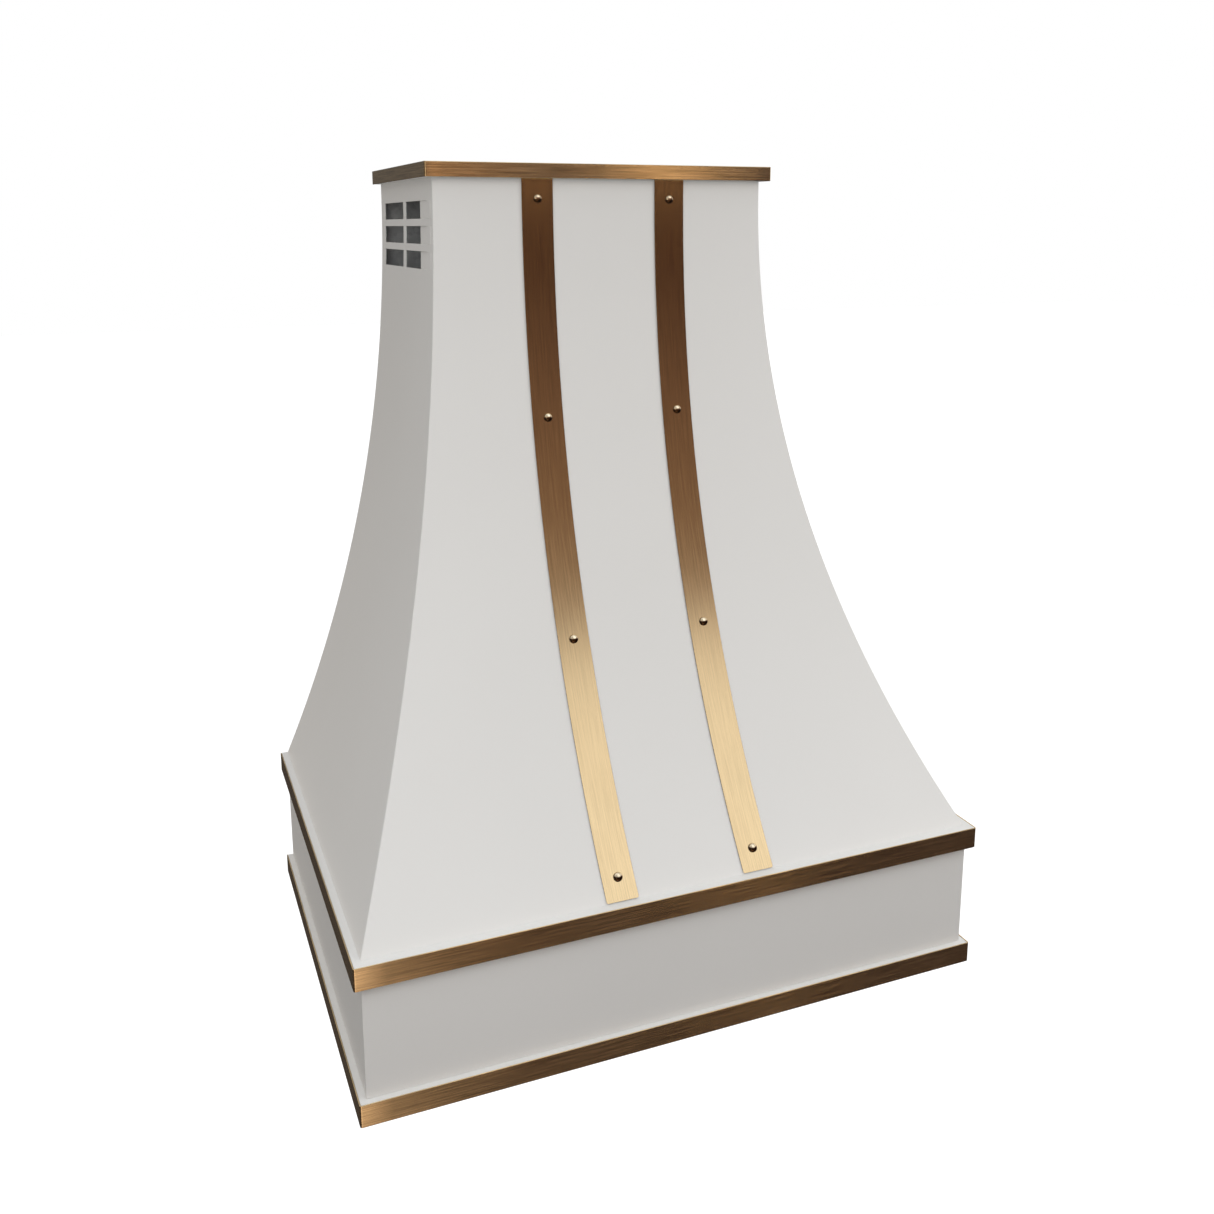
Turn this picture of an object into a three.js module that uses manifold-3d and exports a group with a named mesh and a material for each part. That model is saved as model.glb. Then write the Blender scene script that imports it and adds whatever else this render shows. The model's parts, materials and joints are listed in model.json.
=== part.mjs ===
// A wall-mounted kitchen range hood with a concave sweep body, brass bands and riveted straps.
//
// Millimetres, +Z up, +X to the right as one faces the hood, the wall plane is at +Y.
// The origin is the middle of the footprint, level with the underside of the bottom band.
import * as THREE from 'three';
import { mergeVertices } from 'three/addons/utils/BufferGeometryUtils.js';
import Module from 'manifold-3d';

const wasm = await Module();
wasm.setup();

// ---------- driving dimensions ----------
const WIDTH = 762;                 // both bands, side to side
const DEPTH = 546;                 // both bands, wall to front
const HEIGHT = 976;
const WALL = DEPTH / 2;            // y of the wall plane
const FRONT = -DEPTH / 2;          // y of the bands' front face

const GAP = 0.3;                   // clearance between pieces that touch
const PAST = 1;                    // how far a cutter reaches past the sheet that it cuts
const SHEET = 1.5;                 // painted sheet
const THIN = 1.2;                  // galvanised and stainless sheet
const BAND = 1.5;                  // brass strip of the three bands
const STRAP = 1.2;                 // brass strip of the two straps

// Body
const BAND_HEIGHT = 26;
const BAND_CORNER = 2.5;           // bend radius of a band's front corners
const MID_BAND_Z = 156;
const BODY_Z = MID_BAND_Z + BAND_HEIGHT;
const CROWN_Z = 959;
const NECK_TOP_Z = 970;            // the body's panels end inside the crown
const SWEEP_TOP_Z = 950;           // where the sweep starts to leave the vertical
const SWEEP_STEPS = 24;
const NECK_HALF_WIDTH = 208;
const NECK_DEPTH = 275;
const FOOT_HALF_WIDTH = 371;
const FOOT_DEPTH = 533;
const FLANGE_DEPTH = 66;           // corner flanges behind the side panels
const CROWN_HALF_WIDTH = 219;
const CROWN_DEPTH = 286;
const CROWN_NECK_DEPTH = 5;        // how far the neck's hole is cut up into the crown
const APRON_INSET = 9;
const APRON_LIP = 8;
const LEDGE_DROP = 0.5;            // the painted ledge lies this far below the band's top edge
const WIDE_OPENING = [[-362, 362], [-252, 262]];
const NARROW_OPENING = [[-345, 345], [-235, 245]];

// Straps, rivets and vents
const STRAP_X = 84;
const STRAP_WIDTH = 38;
const STRAP_FOOT_GAP = 1;
const STRAP_TUCK = 4;              // how far a strap runs up behind the crown band
const RIVET_HEIGHTS = [202, 434, 683, 936];
const RIVET_HEAD_R = 5.2;
const RIVET_HEAD_H = 3.4;
const RIVET_SHANK_R = 2.4;
const RIVET_TAIL = 4;              // shank below the panel's outer face
const RIVET_HOLE_R = 2.8;
const RIVET_HOLE_DEPTH = 16;
const RIVET_SIDES = 10;
const DOME_STEPS = 3;
const VENT_ROWS = [866, 895, 924];             // cell centres
const VENT_CELL_HEIGHT = 20.5;
const VENT_COLUMNS = [[20, 128], [140, 248]];  // distances from the wall

// Liner and filters
const LINER_HALF_WIDTH = 331;
const LINER_FRONT = -232;
const LINER_BACK = 242;
const LINER_TOP_Z = 120;
const LINER_RIM = [[-358, 358], [-248, 258]];
const FILTER_HALF_GAP = 14;
const FILTER_SIZE = 296;
const FILTER_FRONT = -120;
const FILTER_Z = 113;
const FILTER_HEIGHT = 14;
const FILTER_CLEARANCE = 2;
const FILTER_BAR = 8;
const SLAT = { width: 22, lip: 4, pitch: 29.6, firstY: -92, lowerCount: 9, end: 0.5, face: 1.2 };
const HANDLE = { halfX: 48, drop: 17, bend: 8, rodR: 2.6 };
const LATCH = { pinR: 3, rise: 10.5, tip: 1.4, tabGap: 6, tabHalfX: 11, tab: 2, tabDrop: 7, tabRise: 3.5 };
const PIN_SIDES = 12;

// Lamps and controls
const SERVICE_Y = -176;            // middle of the strip that holds the lamps and the controls
const LAMP = { x: 230, holeR: 34, canR: 33.4, lipR: 38, mouthR: 29, lip: 3, seat: 1.5, rise: 18, lens: 3 };
const BUTTONS = { button_power: -60, button_slow: -20, button_fast: 20, button_light: 60 };
const BUTTON = { r: 9, flangeR: 11, stands: 6, bevel: 1.2, flangeAt: 1, flange: 1.5, clearance: 0.5 };
const BUTTON_SIDES = 14;
const PLATE = { halfX: 96, halfY: 23, thickness: 3 };
const SWITCH_CUTOUT = [[-84, 84], [SERVICE_Y - 17, SERVICE_Y + 17]];
const SWITCH = { clearance: 0.6, rise: 24, wellRise: 8 };

// Blower
const DUCT_Y = 135;
const SCROLL = { x: -109, z: 300, front: 70, back: 200, inletR: 84, steps: 24 };
const TONGUE_ANGLE = 60;           // degrees above +X, where the spiral starts
const SCROLL_START_R = 106;
const SCROLL_END_R = 165;
const OUTLET_Z = 460;
const FLANGE_HALF = [86, 80];      // outlet flange, half sizes in x and y
const SHAFT_R = 4;
const IMPELLER = { r: 95, y: [84, 186], ring: 15, ringDepth: 3, discHalf: 1, hubR: 14, hubY: [112, 135] };
const BLADE = { count: 20, chord: 13, thickness: 1.4, pitch: 0.6, inset: 7.5, endGap: 1 };
const MOTOR = { r: 42, y: [142, 206], bossR: 20, bossFrom: 139, shaftFrom: 108 };
const BRACKET = { r: 52, plate: 2, armLength: 58, armWidth: 16, armFrom: 46, angles: [90, 210, 330] };
const CASSETTE = { r: 100, depth: 26, rim: 12, recess: 3, rearY: 207 };
const RAIL = { offset: 60, halfX: 14, plate: 2, foot: 26, inset: 4, topZ: 152 };
const ROUND_SIDES = 28;

// Duct, damper and diverter
const DUCT_R = 76;
const COLLAR_TOP_Z = 540;
const RISER_Z = [515, 838];
const DAMPER = { z: 500, pinR: 2, headR: 3.5, head: 2, halfSheet: 0.5, rimGap: 1.2, edge: 3.3, length: 10 };
const KNUCKLE_OFFSETS = [-44, 36]; // from the duct's axis to the left flap's knuckles
const KNUCKLE_STEP = 12;           // from a left knuckle to the right one beside it
const DIVERTER = { halfX: 145, y: [30, 240], z: [845, 948], spigotZ: 818, wedgeHalfX: 60, wedgeDrop: 60 };

// Wall fixing and wiring
const KEYHOLE = { x: 120, z: 915, windowR: 14, headR: 7, headDrop: 6, slotHalfX: 3, slotRise: 10 };
const BAR = { halfX: 178, z: [882, 942], plate: 2, lip: 16 };
const WIRING = { x: [112, 200], y: [226, 271], z: [540, 620], glandY: 252, knockoutR: 8 };
const DEEP = 9;                    // reach of the cutters that pass through a bent or stepped sheet

// ---------- materials ----------
const material = (color, roughness, metalness) =>
  new THREE.MeshStandardMaterial({ color, roughness, metalness });
const paint = () => material(0xdad8d2, 0.55, 0.0);
const brass = () => material(0xa9824f, 0.35, 1.0);
const stainless = () => material(0xb4b6b8, 0.35, 1.0);
const galvanised = () => material(0x8f9498, 0.5, 0.9);
const darkPlastic = () => material(0x202224, 0.5, 0.0);
const lensWhite = () => material(0xf2efe6, 0.3, 0.0);

const model = new THREE.Group();

// ---------- solids ----------
const MERGE_WITHIN = 1e-4;

function toSolid(geometry) {
  const bare = geometry.index ? geometry.toNonIndexed() : geometry.clone();
  for (const name of Object.keys(bare.attributes)) {
    if (name !== 'position') bare.deleteAttribute(name);
  }
  const merged = mergeVertices(bare, MERGE_WITHIN);
  return new wasm.Manifold(new wasm.Mesh({
    numProp: 3,
    vertProperties: merged.attributes.position.array,
    triVerts: Uint32Array.from(merged.index.array),
  }));
}

function toGeometry(solid) {
  const mesh = solid.getMesh();
  const geometry = new THREE.BufferGeometry();
  geometry.setAttribute('position', new THREE.BufferAttribute(mesh.vertProperties, 3));
  geometry.setIndex(new THREE.BufferAttribute(mesh.triVerts, 1));
  geometry.computeVertexNormals();
  return geometry;
}

function addPart(name, solid, look) {
  const mesh = new THREE.Mesh(toGeometry(solid), look);
  mesh.name = name;
  model.add(mesh);
}

const union = (...solids) => solids.reduce((sum, next) => sum.add(next));
const cut = (solid, ...tools) => tools.reduce((left, tool) => left.subtract(tool), solid);
const grow = ([low, high], by) => [low - by, high + by];
const around = (centre, half) => [centre - half, centre + half];
const middleOf = ([low, high]) => (low + high) / 2;

function box(x, y, z) {
  const geometry = new THREE.BoxGeometry(x[1] - x[0], y[1] - y[0], z[1] - z[0]);
  geometry.translate((x[0] + x[1]) / 2, (y[0] + y[1]) / 2, (z[0] + z[1]) / 2);
  return toSolid(geometry);
}

// An outline is a list of [u, v] points. The three prisms below run along one axis each:
// alongX takes (y, z), alongY takes (x, z) and alongZ takes (x, y).
const AXES = {
  x: [new THREE.Vector3(0, 1, 0), new THREE.Vector3(0, 0, 1), new THREE.Vector3(1, 0, 0)],
  y: [new THREE.Vector3(0, 0, 1), new THREE.Vector3(1, 0, 0), new THREE.Vector3(0, 1, 0)],
  z: [new THREE.Vector3(1, 0, 0), new THREE.Vector3(0, 1, 0), new THREE.Vector3(0, 0, 1)],
};

function prism(shape, axis, from, to) {
  const geometry = new THREE.ExtrudeGeometry(shape, {
    depth: to - from, bevelEnabled: false, curveSegments: 8,
  });
  geometry.translate(0, 0, from);
  geometry.applyMatrix4(new THREE.Matrix4().makeBasis(...AXES[axis]));
  return toSolid(geometry);
}

const outline = (points) => new THREE.Shape(points.map(([u, v]) => new THREE.Vector2(u, v)));
const alongX = (points, from, to) => prism(outline(points), 'x', from, to);
const alongY = (points, from, to) => prism(outline(points.map(([x, z]) => [z, x])), 'y', from, to);
const alongZ = (points, from, to) => prism(outline(points), 'z', from, to);

function cylinder(axis, centre, radius, from, to, sides = 24) {
  const geometry = new THREE.CylinderGeometry(radius, radius, to - from, sides);
  geometry.rotateX(Math.PI / 2);
  geometry.translate(0, 0, (from + to) / 2);
  geometry.applyMatrix4(new THREE.Matrix4().makeBasis(...AXES[axis]));
  const place = { x: [0, centre[0], centre[1]], y: [centre[0], 0, centre[1]], z: [...centre, 0] };
  geometry.translate(...place[axis]);
  return toSolid(geometry);
}

// A profile is a list of [radius, height] points about +Z.
function latheAboutZ(profile, sides) {
  const points = profile.map(([radius, height]) => new THREE.Vector2(radius, height));
  const geometry = new THREE.LatheGeometry(points, sides);
  return geometry.rotateX(Math.PI / 2);
}

const turned = (profile, sides = 24) => toSolid(latheAboutZ(profile, sides));

// ---------- the sweep ----------
// Each flank is an arc that is upright at SWEEP_TOP_Z and has moved outwards by `reach` at the foot.
function sweepOffset(z, reach) {
  const drop = SWEEP_TOP_Z - BODY_Z;
  const radius = (drop * drop + reach * reach) / (2 * reach);
  const fall = Math.max(0, SWEEP_TOP_Z - z);
  return radius - Math.sqrt(radius * radius - fall * fall);
}
const halfWidth = (z) => NECK_HALF_WIDTH + sweepOffset(z, FOOT_HALF_WIDTH - NECK_HALF_WIDTH);
const bodyFront = (z) => WALL - NECK_DEPTH - sweepOffset(z, FOOT_DEPTH - NECK_DEPTH);

const stations = [NECK_TOP_Z];
for (let i = 0; i <= SWEEP_STEPS; i += 1) {
  stations.push(SWEEP_TOP_Z + (BODY_Z - SWEEP_TOP_Z) * i / SWEEP_STEPS);
}

// A closed outline between two curves over the body's height.
function strip(near, far) {
  return [
    ...stations.map((z) => [near(z), z]),
    ...stations.slice().reverse().map((z) => [far(z), z]),
  ];
}

// Everything within the side flanks, less `inset`, over the body's full depth and more.
const withinSides = (inset) =>
  alongY(strip((z) => -halfWidth(z) + inset, (z) => halfWidth(z) - inset), -DEPTH, DEPTH);
// Everything from `near` to `far` behind the front flank.
const behindFront = (near, far) =>
  alongX(strip((z) => bodyFront(z) + near, (z) => bodyFront(z) + far), -WIDTH, WIDTH);
const behindFrontToWall = (near) =>
  alongX(strip((z) => bodyFront(z) + near, () => WALL), -WIDTH, WIDTH);

// The outward normal of the front flank, as an angle below the horizontal.
function frontSlope(z) {
  const step = 1;
  return Math.atan2(bodyFront(z + step) - bodyFront(z - step), 2 * step);
}

// ---------- rivets and their holes ----------
function rivetMatrix(side, z) {
  return new THREE.Matrix4()
    .makeTranslation(side * STRAP_X, bodyFront(z), z)
    .multiply(new THREE.Matrix4().makeRotationX(Math.PI / 2 - frontSlope(z)));
}

function placed(geometry, matrix) {
  return toSolid(geometry.applyMatrix4(matrix));
}

function rivetHole(side, z) {
  const geometry = new THREE.CylinderGeometry(RIVET_HOLE_R, RIVET_HOLE_R, RIVET_HOLE_DEPTH, RIVET_SIDES);
  geometry.rotateX(Math.PI / 2);
  return placed(geometry, rivetMatrix(side, z));
}

function rivet(side, z) {
  const seat = STRAP + 2 * GAP;
  const profile = [[0, -RIVET_TAIL], [RIVET_SHANK_R, -RIVET_TAIL], [RIVET_SHANK_R, seat]];
  for (let i = 0; i < DOME_STEPS; i += 1) {
    const angle = (Math.PI / 2) * i / DOME_STEPS;
    profile.push([RIVET_HEAD_R * Math.cos(angle), seat + RIVET_HEAD_H * Math.sin(angle)]);
  }
  profile.push([0, seat + RIVET_HEAD_H]);
  return placed(latheAboutZ(profile, RIVET_SIDES), rivetMatrix(side, z));
}

const rivetPlaces = [];
for (const side of [-1, 1]) {
  for (const z of RIVET_HEIGHTS) rivetPlaces.push([side, z]);
}
const rivetHoles = rivetPlaces.map(([side, z]) => rivetHole(side, z));

// ---------- body ----------
function ventCells(side) {
  const x = side < 0 ? [-FOOT_HALF_WIDTH, -NECK_HALF_WIDTH / 2] : [NECK_HALF_WIDTH / 2, FOOT_HALF_WIDTH];
  return VENT_ROWS.flatMap((z) => VENT_COLUMNS.map(([near, far]) =>
    box(x, [WALL - far, WALL - near], around(z, VENT_CELL_HEIGHT / 2))));
}

function sidePanel(side) {
  const outer = (z) => side * halfWidth(z);
  const inner = (z) => side * (halfWidth(z) - SHEET);
  const [near, far] = side < 0 ? [outer, inner] : [inner, outer];
  const skin = alongY(strip(near, far), -DEPTH, DEPTH);
  return cut(skin.intersect(behindFrontToWall(SHEET + GAP)), ...ventCells(side));
}

function frontPanel() {
  return cut(behindFront(0, SHEET).intersect(withinSides(0)), ...rivetHoles);
}

// A corner flange backs the seam between the front sheet and a side sheet.
function cornerFlange(side) {
  return withinSides(SHEET + GAP).subtract(withinSides(2 * SHEET + GAP))
    .intersect(behindFront(SHEET + GAP, FLANGE_DEPTH))
    .intersect(box(around((side * WIDTH) / 2, WIDTH / 2), [-DEPTH, DEPTH], [BODY_Z, NECK_TOP_Z]));
}

function backPanel() {
  const panel = withinSides(SHEET + GAP).intersect(
    box([-WIDTH, WIDTH], [WALL - SHEET, WALL], [BODY_Z, NECK_TOP_Z]));
  const windows = [-1, 1].map((side) =>
    cylinder('y', [side * KEYHOLE.x, KEYHOLE.z], KEYHOLE.windowR, ...around(WALL, DEEP)));
  return cut(panel, ...windows);
}

addPart('front_panel', frontPanel(), paint());
addPart('corner_flange_left', cornerFlange(-1), paint());
addPart('corner_flange_right', cornerFlange(1), paint());
addPart('side_panel_left', sidePanel(-1), paint());
addPart('side_panel_right', sidePanel(1), paint());
addPart('back_panel', backPanel(), galvanised());

// ---------- bands, ledges, apron and crown ----------
// A U of brass strip: left, front and right, with bent corners, open at the wall.
function uBand(halfX, depth, z0, z1) {
  const front = WALL - depth;
  const shape = new THREE.Shape();
  const corner = BAND_CORNER;
  shape.moveTo(-halfX, WALL);
  shape.lineTo(-halfX, front + corner);
  shape.absarc(-halfX + corner, front + corner, corner, Math.PI, 1.5 * Math.PI, false);
  shape.lineTo(halfX - corner, front);
  shape.absarc(halfX - corner, front + corner, corner, -0.5 * Math.PI, 0, false);
  shape.lineTo(halfX, WALL);
  shape.lineTo(halfX - BAND, WALL);
  shape.lineTo(halfX - BAND, front + BAND);
  shape.lineTo(-halfX + BAND, front + BAND);
  shape.lineTo(-halfX + BAND, WALL);
  shape.closePath();
  return prism(shape, 'z', z0, z1);
}

const LEDGE_HALF_WIDTH = WIDTH / 2 - BAND - GAP;
const LEDGE_FRONT = FRONT + BAND + GAP;

// A ring of channel section that opens inwards.
function ledgeFrame(z0, z1, lowOpening, highOpening) {
  const block = box([-LEDGE_HALF_WIDTH, LEDGE_HALF_WIDTH], [LEDGE_FRONT, WALL], [z0, z1]);
  const channel = box([-LEDGE_HALF_WIDTH + SHEET, LEDGE_HALF_WIDTH - SHEET],
    [LEDGE_FRONT + SHEET, WALL - SHEET], [z0 + SHEET, z1 - SHEET]);
  return cut(block, channel, box(...lowOpening, grow([z0, z0 + SHEET], PAST)),
    box(...highOpening, grow([z1 - SHEET, z1], PAST)));
}

function apron() {
  const half = WIDTH / 2 - APRON_INSET;
  const front = FRONT + APRON_INSET;
  const z = [BAND_HEIGHT - LEDGE_DROP + GAP, MID_BAND_Z];
  const x = [-half, half];
  const y = [front, WALL];
  const hollow = box(grow(x, -SHEET), grow(y, -SHEET), grow(z, -SHEET));
  const mouth = box(grow(x, -APRON_LIP), grow(y, -APRON_LIP), grow(z, PAST));
  return cut(box(x, y, z), hollow, mouth);
}

function crownCap() {
  const half = CROWN_HALF_WIDTH - BAND - GAP;
  const front = WALL - CROWN_DEPTH + BAND + GAP;
  const block = box([-half, half], [front, WALL], [CROWN_Z + GAP, HEIGHT]);
  const hollow = box([-half + SHEET, half - SHEET], [front + SHEET, WALL + PAST],
    [CROWN_Z + GAP + SHEET, HEIGHT - SHEET]);
  const neck = box([-NECK_HALF_WIDTH - GAP, NECK_HALF_WIDTH + GAP],
    [WALL - NECK_DEPTH - STRAP - 2 * GAP, WALL + PAST], [CROWN_Z - PAST, CROWN_Z + CROWN_NECK_DEPTH]);
  return cut(block, hollow, neck);
}

addPart('bottom_band', uBand(WIDTH / 2, DEPTH, 0, BAND_HEIGHT), brass());
addPart('bottom_ledge_frame',
  ledgeFrame(0, BAND_HEIGHT - LEDGE_DROP, NARROW_OPENING, WIDE_OPENING), paint());
addPart('apron', apron(), paint());
addPart('mid_band', uBand(WIDTH / 2, DEPTH, MID_BAND_Z, BODY_Z), brass());
addPart('mid_ledge_frame',
  ledgeFrame(MID_BAND_Z + GAP, BODY_Z - GAP, NARROW_OPENING, NARROW_OPENING), paint());
addPart('crown_cap', crownCap(), paint());
addPart('crown_band', uBand(CROWN_HALF_WIDTH, CROWN_DEPTH, CROWN_Z, HEIGHT), brass());

// ---------- straps ----------
function strap(side) {
  const x = around(side * STRAP_X, STRAP_WIDTH / 2);
  const sheet = alongX(strip((z) => bodyFront(z) - GAP - STRAP, (z) => bodyFront(z) - GAP), ...x);
  const length = box([-WIDTH, WIDTH], [-DEPTH, DEPTH], [BODY_Z + STRAP_FOOT_GAP, CROWN_Z + STRAP_TUCK]);
  return cut(sheet.intersect(length), ...rivetHoles);
}

addPart('strap_left', strap(-1), brass());
addPart('strap_right', strap(1), brass());
for (const [side, z] of rivetPlaces) {
  const row = RIVET_HEIGHTS.indexOf(z) + 1;
  addPart(`rivet_${side < 0 ? 'left' : 'right'}_${row}`, rivet(side, z), brass());
}

// ---------- liner ----------
const filterX = (side) => (side < 0
  ? [-FILTER_HALF_GAP - FILTER_SIZE, -FILTER_HALF_GAP]
  : [FILTER_HALF_GAP, FILTER_HALF_GAP + FILTER_SIZE]);
const filterY = [FILTER_FRONT, FILTER_FRONT + FILTER_SIZE];
const latchZ = FILTER_Z + LATCH.rise;

function linerPan() {
  const rimZ = SHEET + GAP;
  const rim = box(...LINER_RIM, [rimZ, rimZ + THIN]);
  const tub = box([-LINER_HALF_WIDTH, LINER_HALF_WIDTH], [LINER_FRONT, LINER_BACK], [rimZ, LINER_TOP_Z]);
  const hollow = box([-LINER_HALF_WIDTH + THIN, LINER_HALF_WIDTH - THIN],
    [LINER_FRONT + THIN, LINER_BACK - THIN], [-PAST, LINER_TOP_Z - THIN]);
  const through = around(LINER_TOP_Z, DEEP);
  const filterHoles = [-1, 1].map((side) =>
    box(grow(filterX(side), FILTER_CLEARANCE), grow(filterY, FILTER_CLEARANCE), through));
  const lampHoles = [-1, 1].map((side) =>
    cylinder('z', [side * LAMP.x, SERVICE_Y], LAMP.holeR, ...through));
  return cut(union(rim, tub), hollow, ...filterHoles, ...lampHoles, box(...SWITCH_CUTOUT, through));
}
addPart('liner_pan', linerPan(), stainless());

// ---------- baffle filters ----------
// A shallow channel along X whose lips point up (1) or down (-1).
function slat(x, y, z, up) {
  const half = SLAT.width / 2;
  const lip = z + up * SLAT.lip;
  const floor = z + up * THIN;
  const points = [[y - half, z], [y + half, z], [y + half, lip], [y + half - THIN, lip],
    [y + half - THIN, floor], [y - half + THIN, floor], [y - half + THIN, lip], [y - half, lip]];
  return alongX(up > 0 ? points : points.slice().reverse(), ...x);
}

// Two rows of slats face each other, and each upper slat covers the gap between two lower ones.
function baffleFilter(side) {
  const x = filterX(side);
  const z = [FILTER_Z, FILTER_Z + FILTER_HEIGHT];
  const window = box(grow(x, -FILTER_BAR), grow(filterY, -FILTER_BAR), grow(z, PAST));
  const slatX = grow(x, SLAT.end - FILTER_BAR);
  const slatY = (row) => SLAT.firstY + SLAT.width / 2 + row * SLAT.pitch;
  const slats = [];
  for (let i = 0; i < SLAT.lowerCount; i += 1) {
    slats.push(slat(slatX, slatY(i), z[0] + SLAT.face, 1));
  }
  for (let i = 0; i + 1 < SLAT.lowerCount; i += 1) {
    slats.push(slat(slatX, slatY(i + 0.5), z[1] - SLAT.face, -1));
  }
  const bar = [FILTER_FRONT, FILTER_FRONT + FILTER_BAR];
  const pinHole = cylinder('y', [middleOf(x), latchZ], LATCH.pinR + GAP, ...grow(bar, 2 * PAST), PIN_SIDES);
  return cut(union(cut(box(x, filterY, z), window), ...slats), pinHole);
}

// A bail of round rod: two posts and a grip, bent at the corners.
function filterHandle(side) {
  const middle = middleOf(filterX(side));
  const y = FILTER_FRONT + FILTER_BAR / 2;
  const top = FILTER_Z - GAP;
  const { halfX, drop, bend } = HANDLE;
  const at = (dx, dz) => new THREE.Vector3(middle + dx, y, top - dz);
  const path = new THREE.CurvePath();
  const corner = (from, peak, to) => new THREE.QuadraticBezierCurve3(at(...from), at(...peak), at(...to));
  const run = (from, to) => new THREE.LineCurve3(at(...from), at(...to));
  path.add(run([-halfX, 0], [-halfX, drop - bend]));
  path.add(corner([-halfX, drop - bend], [-halfX, drop], [-halfX + bend, drop]));
  path.add(run([-halfX + bend, drop], [halfX - bend, drop]));
  path.add(corner([halfX - bend, drop], [halfX, drop], [halfX, drop - bend]));
  path.add(run([halfX, drop - bend], [halfX, 0]));
  const section = new THREE.Shape();
  section.absarc(0, 0, HANDLE.rodR, 0, 2 * Math.PI, false);
  return toSolid(new THREE.ExtrudeGeometry(section, { extrudePath: path, steps: 16, curveSegments: 4 }));
}

// A sprung pin through the frame's front bar, with a finger tab that hangs behind the bar.
function filterLatch(side) {
  const middle = middleOf(filterX(side));
  const tabY = FILTER_FRONT + FILTER_BAR + LATCH.tabGap;
  const pin = cylinder('y', [middle, latchZ], LATCH.pinR, FILTER_FRONT - LATCH.tip, tabY + PAST, PIN_SIDES);
  const tab = box(around(middle, LATCH.tabHalfX), [tabY, tabY + LATCH.tab],
    [FILTER_Z - LATCH.tabDrop, latchZ + LATCH.tabRise]);
  return union(pin, tab);
}

for (const [name, side] of [['left', -1], ['right', 1]]) {
  addPart(`baffle_filter_${name}`, baffleFilter(side), stainless());
  addPart(`filter_handle_${name}`, filterHandle(side), stainless());
  addPart(`filter_latch_${name}`, filterLatch(side), stainless());
}

// ---------- lamps and controls ----------
const plateFace = LINER_TOP_Z - THIN - GAP;

function lampCan(side) {
  const [face, top] = [plateFace - LAMP.lip, LINER_TOP_Z + LAMP.rise];
  const seat = plateFace - LAMP.seat;
  const inner = LAMP.canR - THIN;
  const shape = turned([
    [LAMP.mouthR, face], [LAMP.lipR, face], [LAMP.lipR, plateFace], [LAMP.canR, plateFace],
    [LAMP.canR, top], [0, top], [0, top - THIN], [inner, top - THIN], [inner, seat],
    [LAMP.mouthR, seat], [LAMP.mouthR, face],
  ]);
  return shape.translate([side * LAMP.x, SERVICE_Y, 0]);
}

// A frosted disc, slightly domed at the back.
function lampLens(side) {
  const radius = LAMP.canR - THIN - GAP;
  const bottom = plateFace - LAMP.seat + GAP;
  return turned([[0, bottom], [radius, bottom], [radius, bottom + LAMP.lens], [0, bottom + LAMP.lens + PAST]])
    .translate([side * LAMP.x, SERVICE_Y, 0]);
}

for (const [name, side] of [['left', -1], ['right', 1]]) {
  addPart(`lamp_can_${name}`, lampCan(side), stainless());
  addPart(`lamp_lens_${name}`, lampLens(side), lensWhite());
}

const buttonWells = (radius, from, to) => Object.values(BUTTONS).map((x) =>
  cylinder('z', [x, SERVICE_Y], radius + BUTTON.clearance, from, to, BUTTON_SIDES));

function controlPlate() {
  const plate = box(around(0, PLATE.halfX), around(SERVICE_Y, PLATE.halfY),
    [plateFace - PLATE.thickness, plateFace]);
  return cut(plate, ...buttonWells(BUTTON.r, ...around(plateFace, DEEP)));
}

function switchHousing() {
  const low = plateFace + GAP;
  const [x, y] = SWITCH_CUTOUT.map((span) => grow(span, -SWITCH.clearance));
  return cut(box(x, y, [low, LINER_TOP_Z + SWITCH.rise]),
    ...buttonWells(BUTTON.flangeR, low - PAST, LINER_TOP_Z + SWITCH.wellRise));
}

function button(x) {
  const face = plateFace - BUTTON.stands;
  const flange = plateFace + BUTTON.flangeAt;
  const top = flange + BUTTON.flange;
  return turned([[0, face], [BUTTON.r - BUTTON.bevel, face], [BUTTON.r, face + BUTTON.bevel],
    [BUTTON.r, flange], [BUTTON.flangeR, flange], [BUTTON.flangeR, top], [0, top]], BUTTON_SIDES)
    .translate([x, SERVICE_Y, 0]);
}

addPart('control_plate', controlPlate(), stainless());
addPart('switch_housing', switchHousing(), darkPlastic());
for (const [name, x] of Object.entries(BUTTONS)) addPart(name, button(x), stainless());

// ---------- blower ----------
const scrollCentre = [SCROLL.x, SCROLL.z];
const railXs = [SCROLL.x - RAIL.offset, SCROLL.x + RAIL.offset];
const radians = THREE.MathUtils.degToRad;

// The spiral grows evenly from the tongue round to +X, then the outlet runs straight up.
function scrollOutline(inset, top) {
  const tongueX = SCROLL.x + SCROLL_START_R * Math.cos(radians(TONGUE_ANGLE)) + inset;
  const tongueZ = SCROLL.z + (SCROLL_START_R - inset) * Math.sin(radians(TONGUE_ANGLE));
  const points = [[tongueX, tongueZ]];
  for (let i = 1; i <= SCROLL.steps; i += 1) {
    const share = i / SCROLL.steps;
    const angle = radians(TONGUE_ANGLE + (360 - TONGUE_ANGLE) * share);
    const radius = SCROLL_START_R + (SCROLL_END_R - SCROLL_START_R) * share - inset;
    points.push([SCROLL.x + radius * Math.cos(angle), SCROLL.z + radius * Math.sin(angle)]);
  }
  points.push([SCROLL.x + SCROLL_END_R - inset, top]);
  points.push([tongueX, top]);
  return points;
}

const outletFlange = (z) =>
  box(around(0, FLANGE_HALF[0]), around(DUCT_Y, FLANGE_HALF[1]), [z, z + THIN]);

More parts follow.
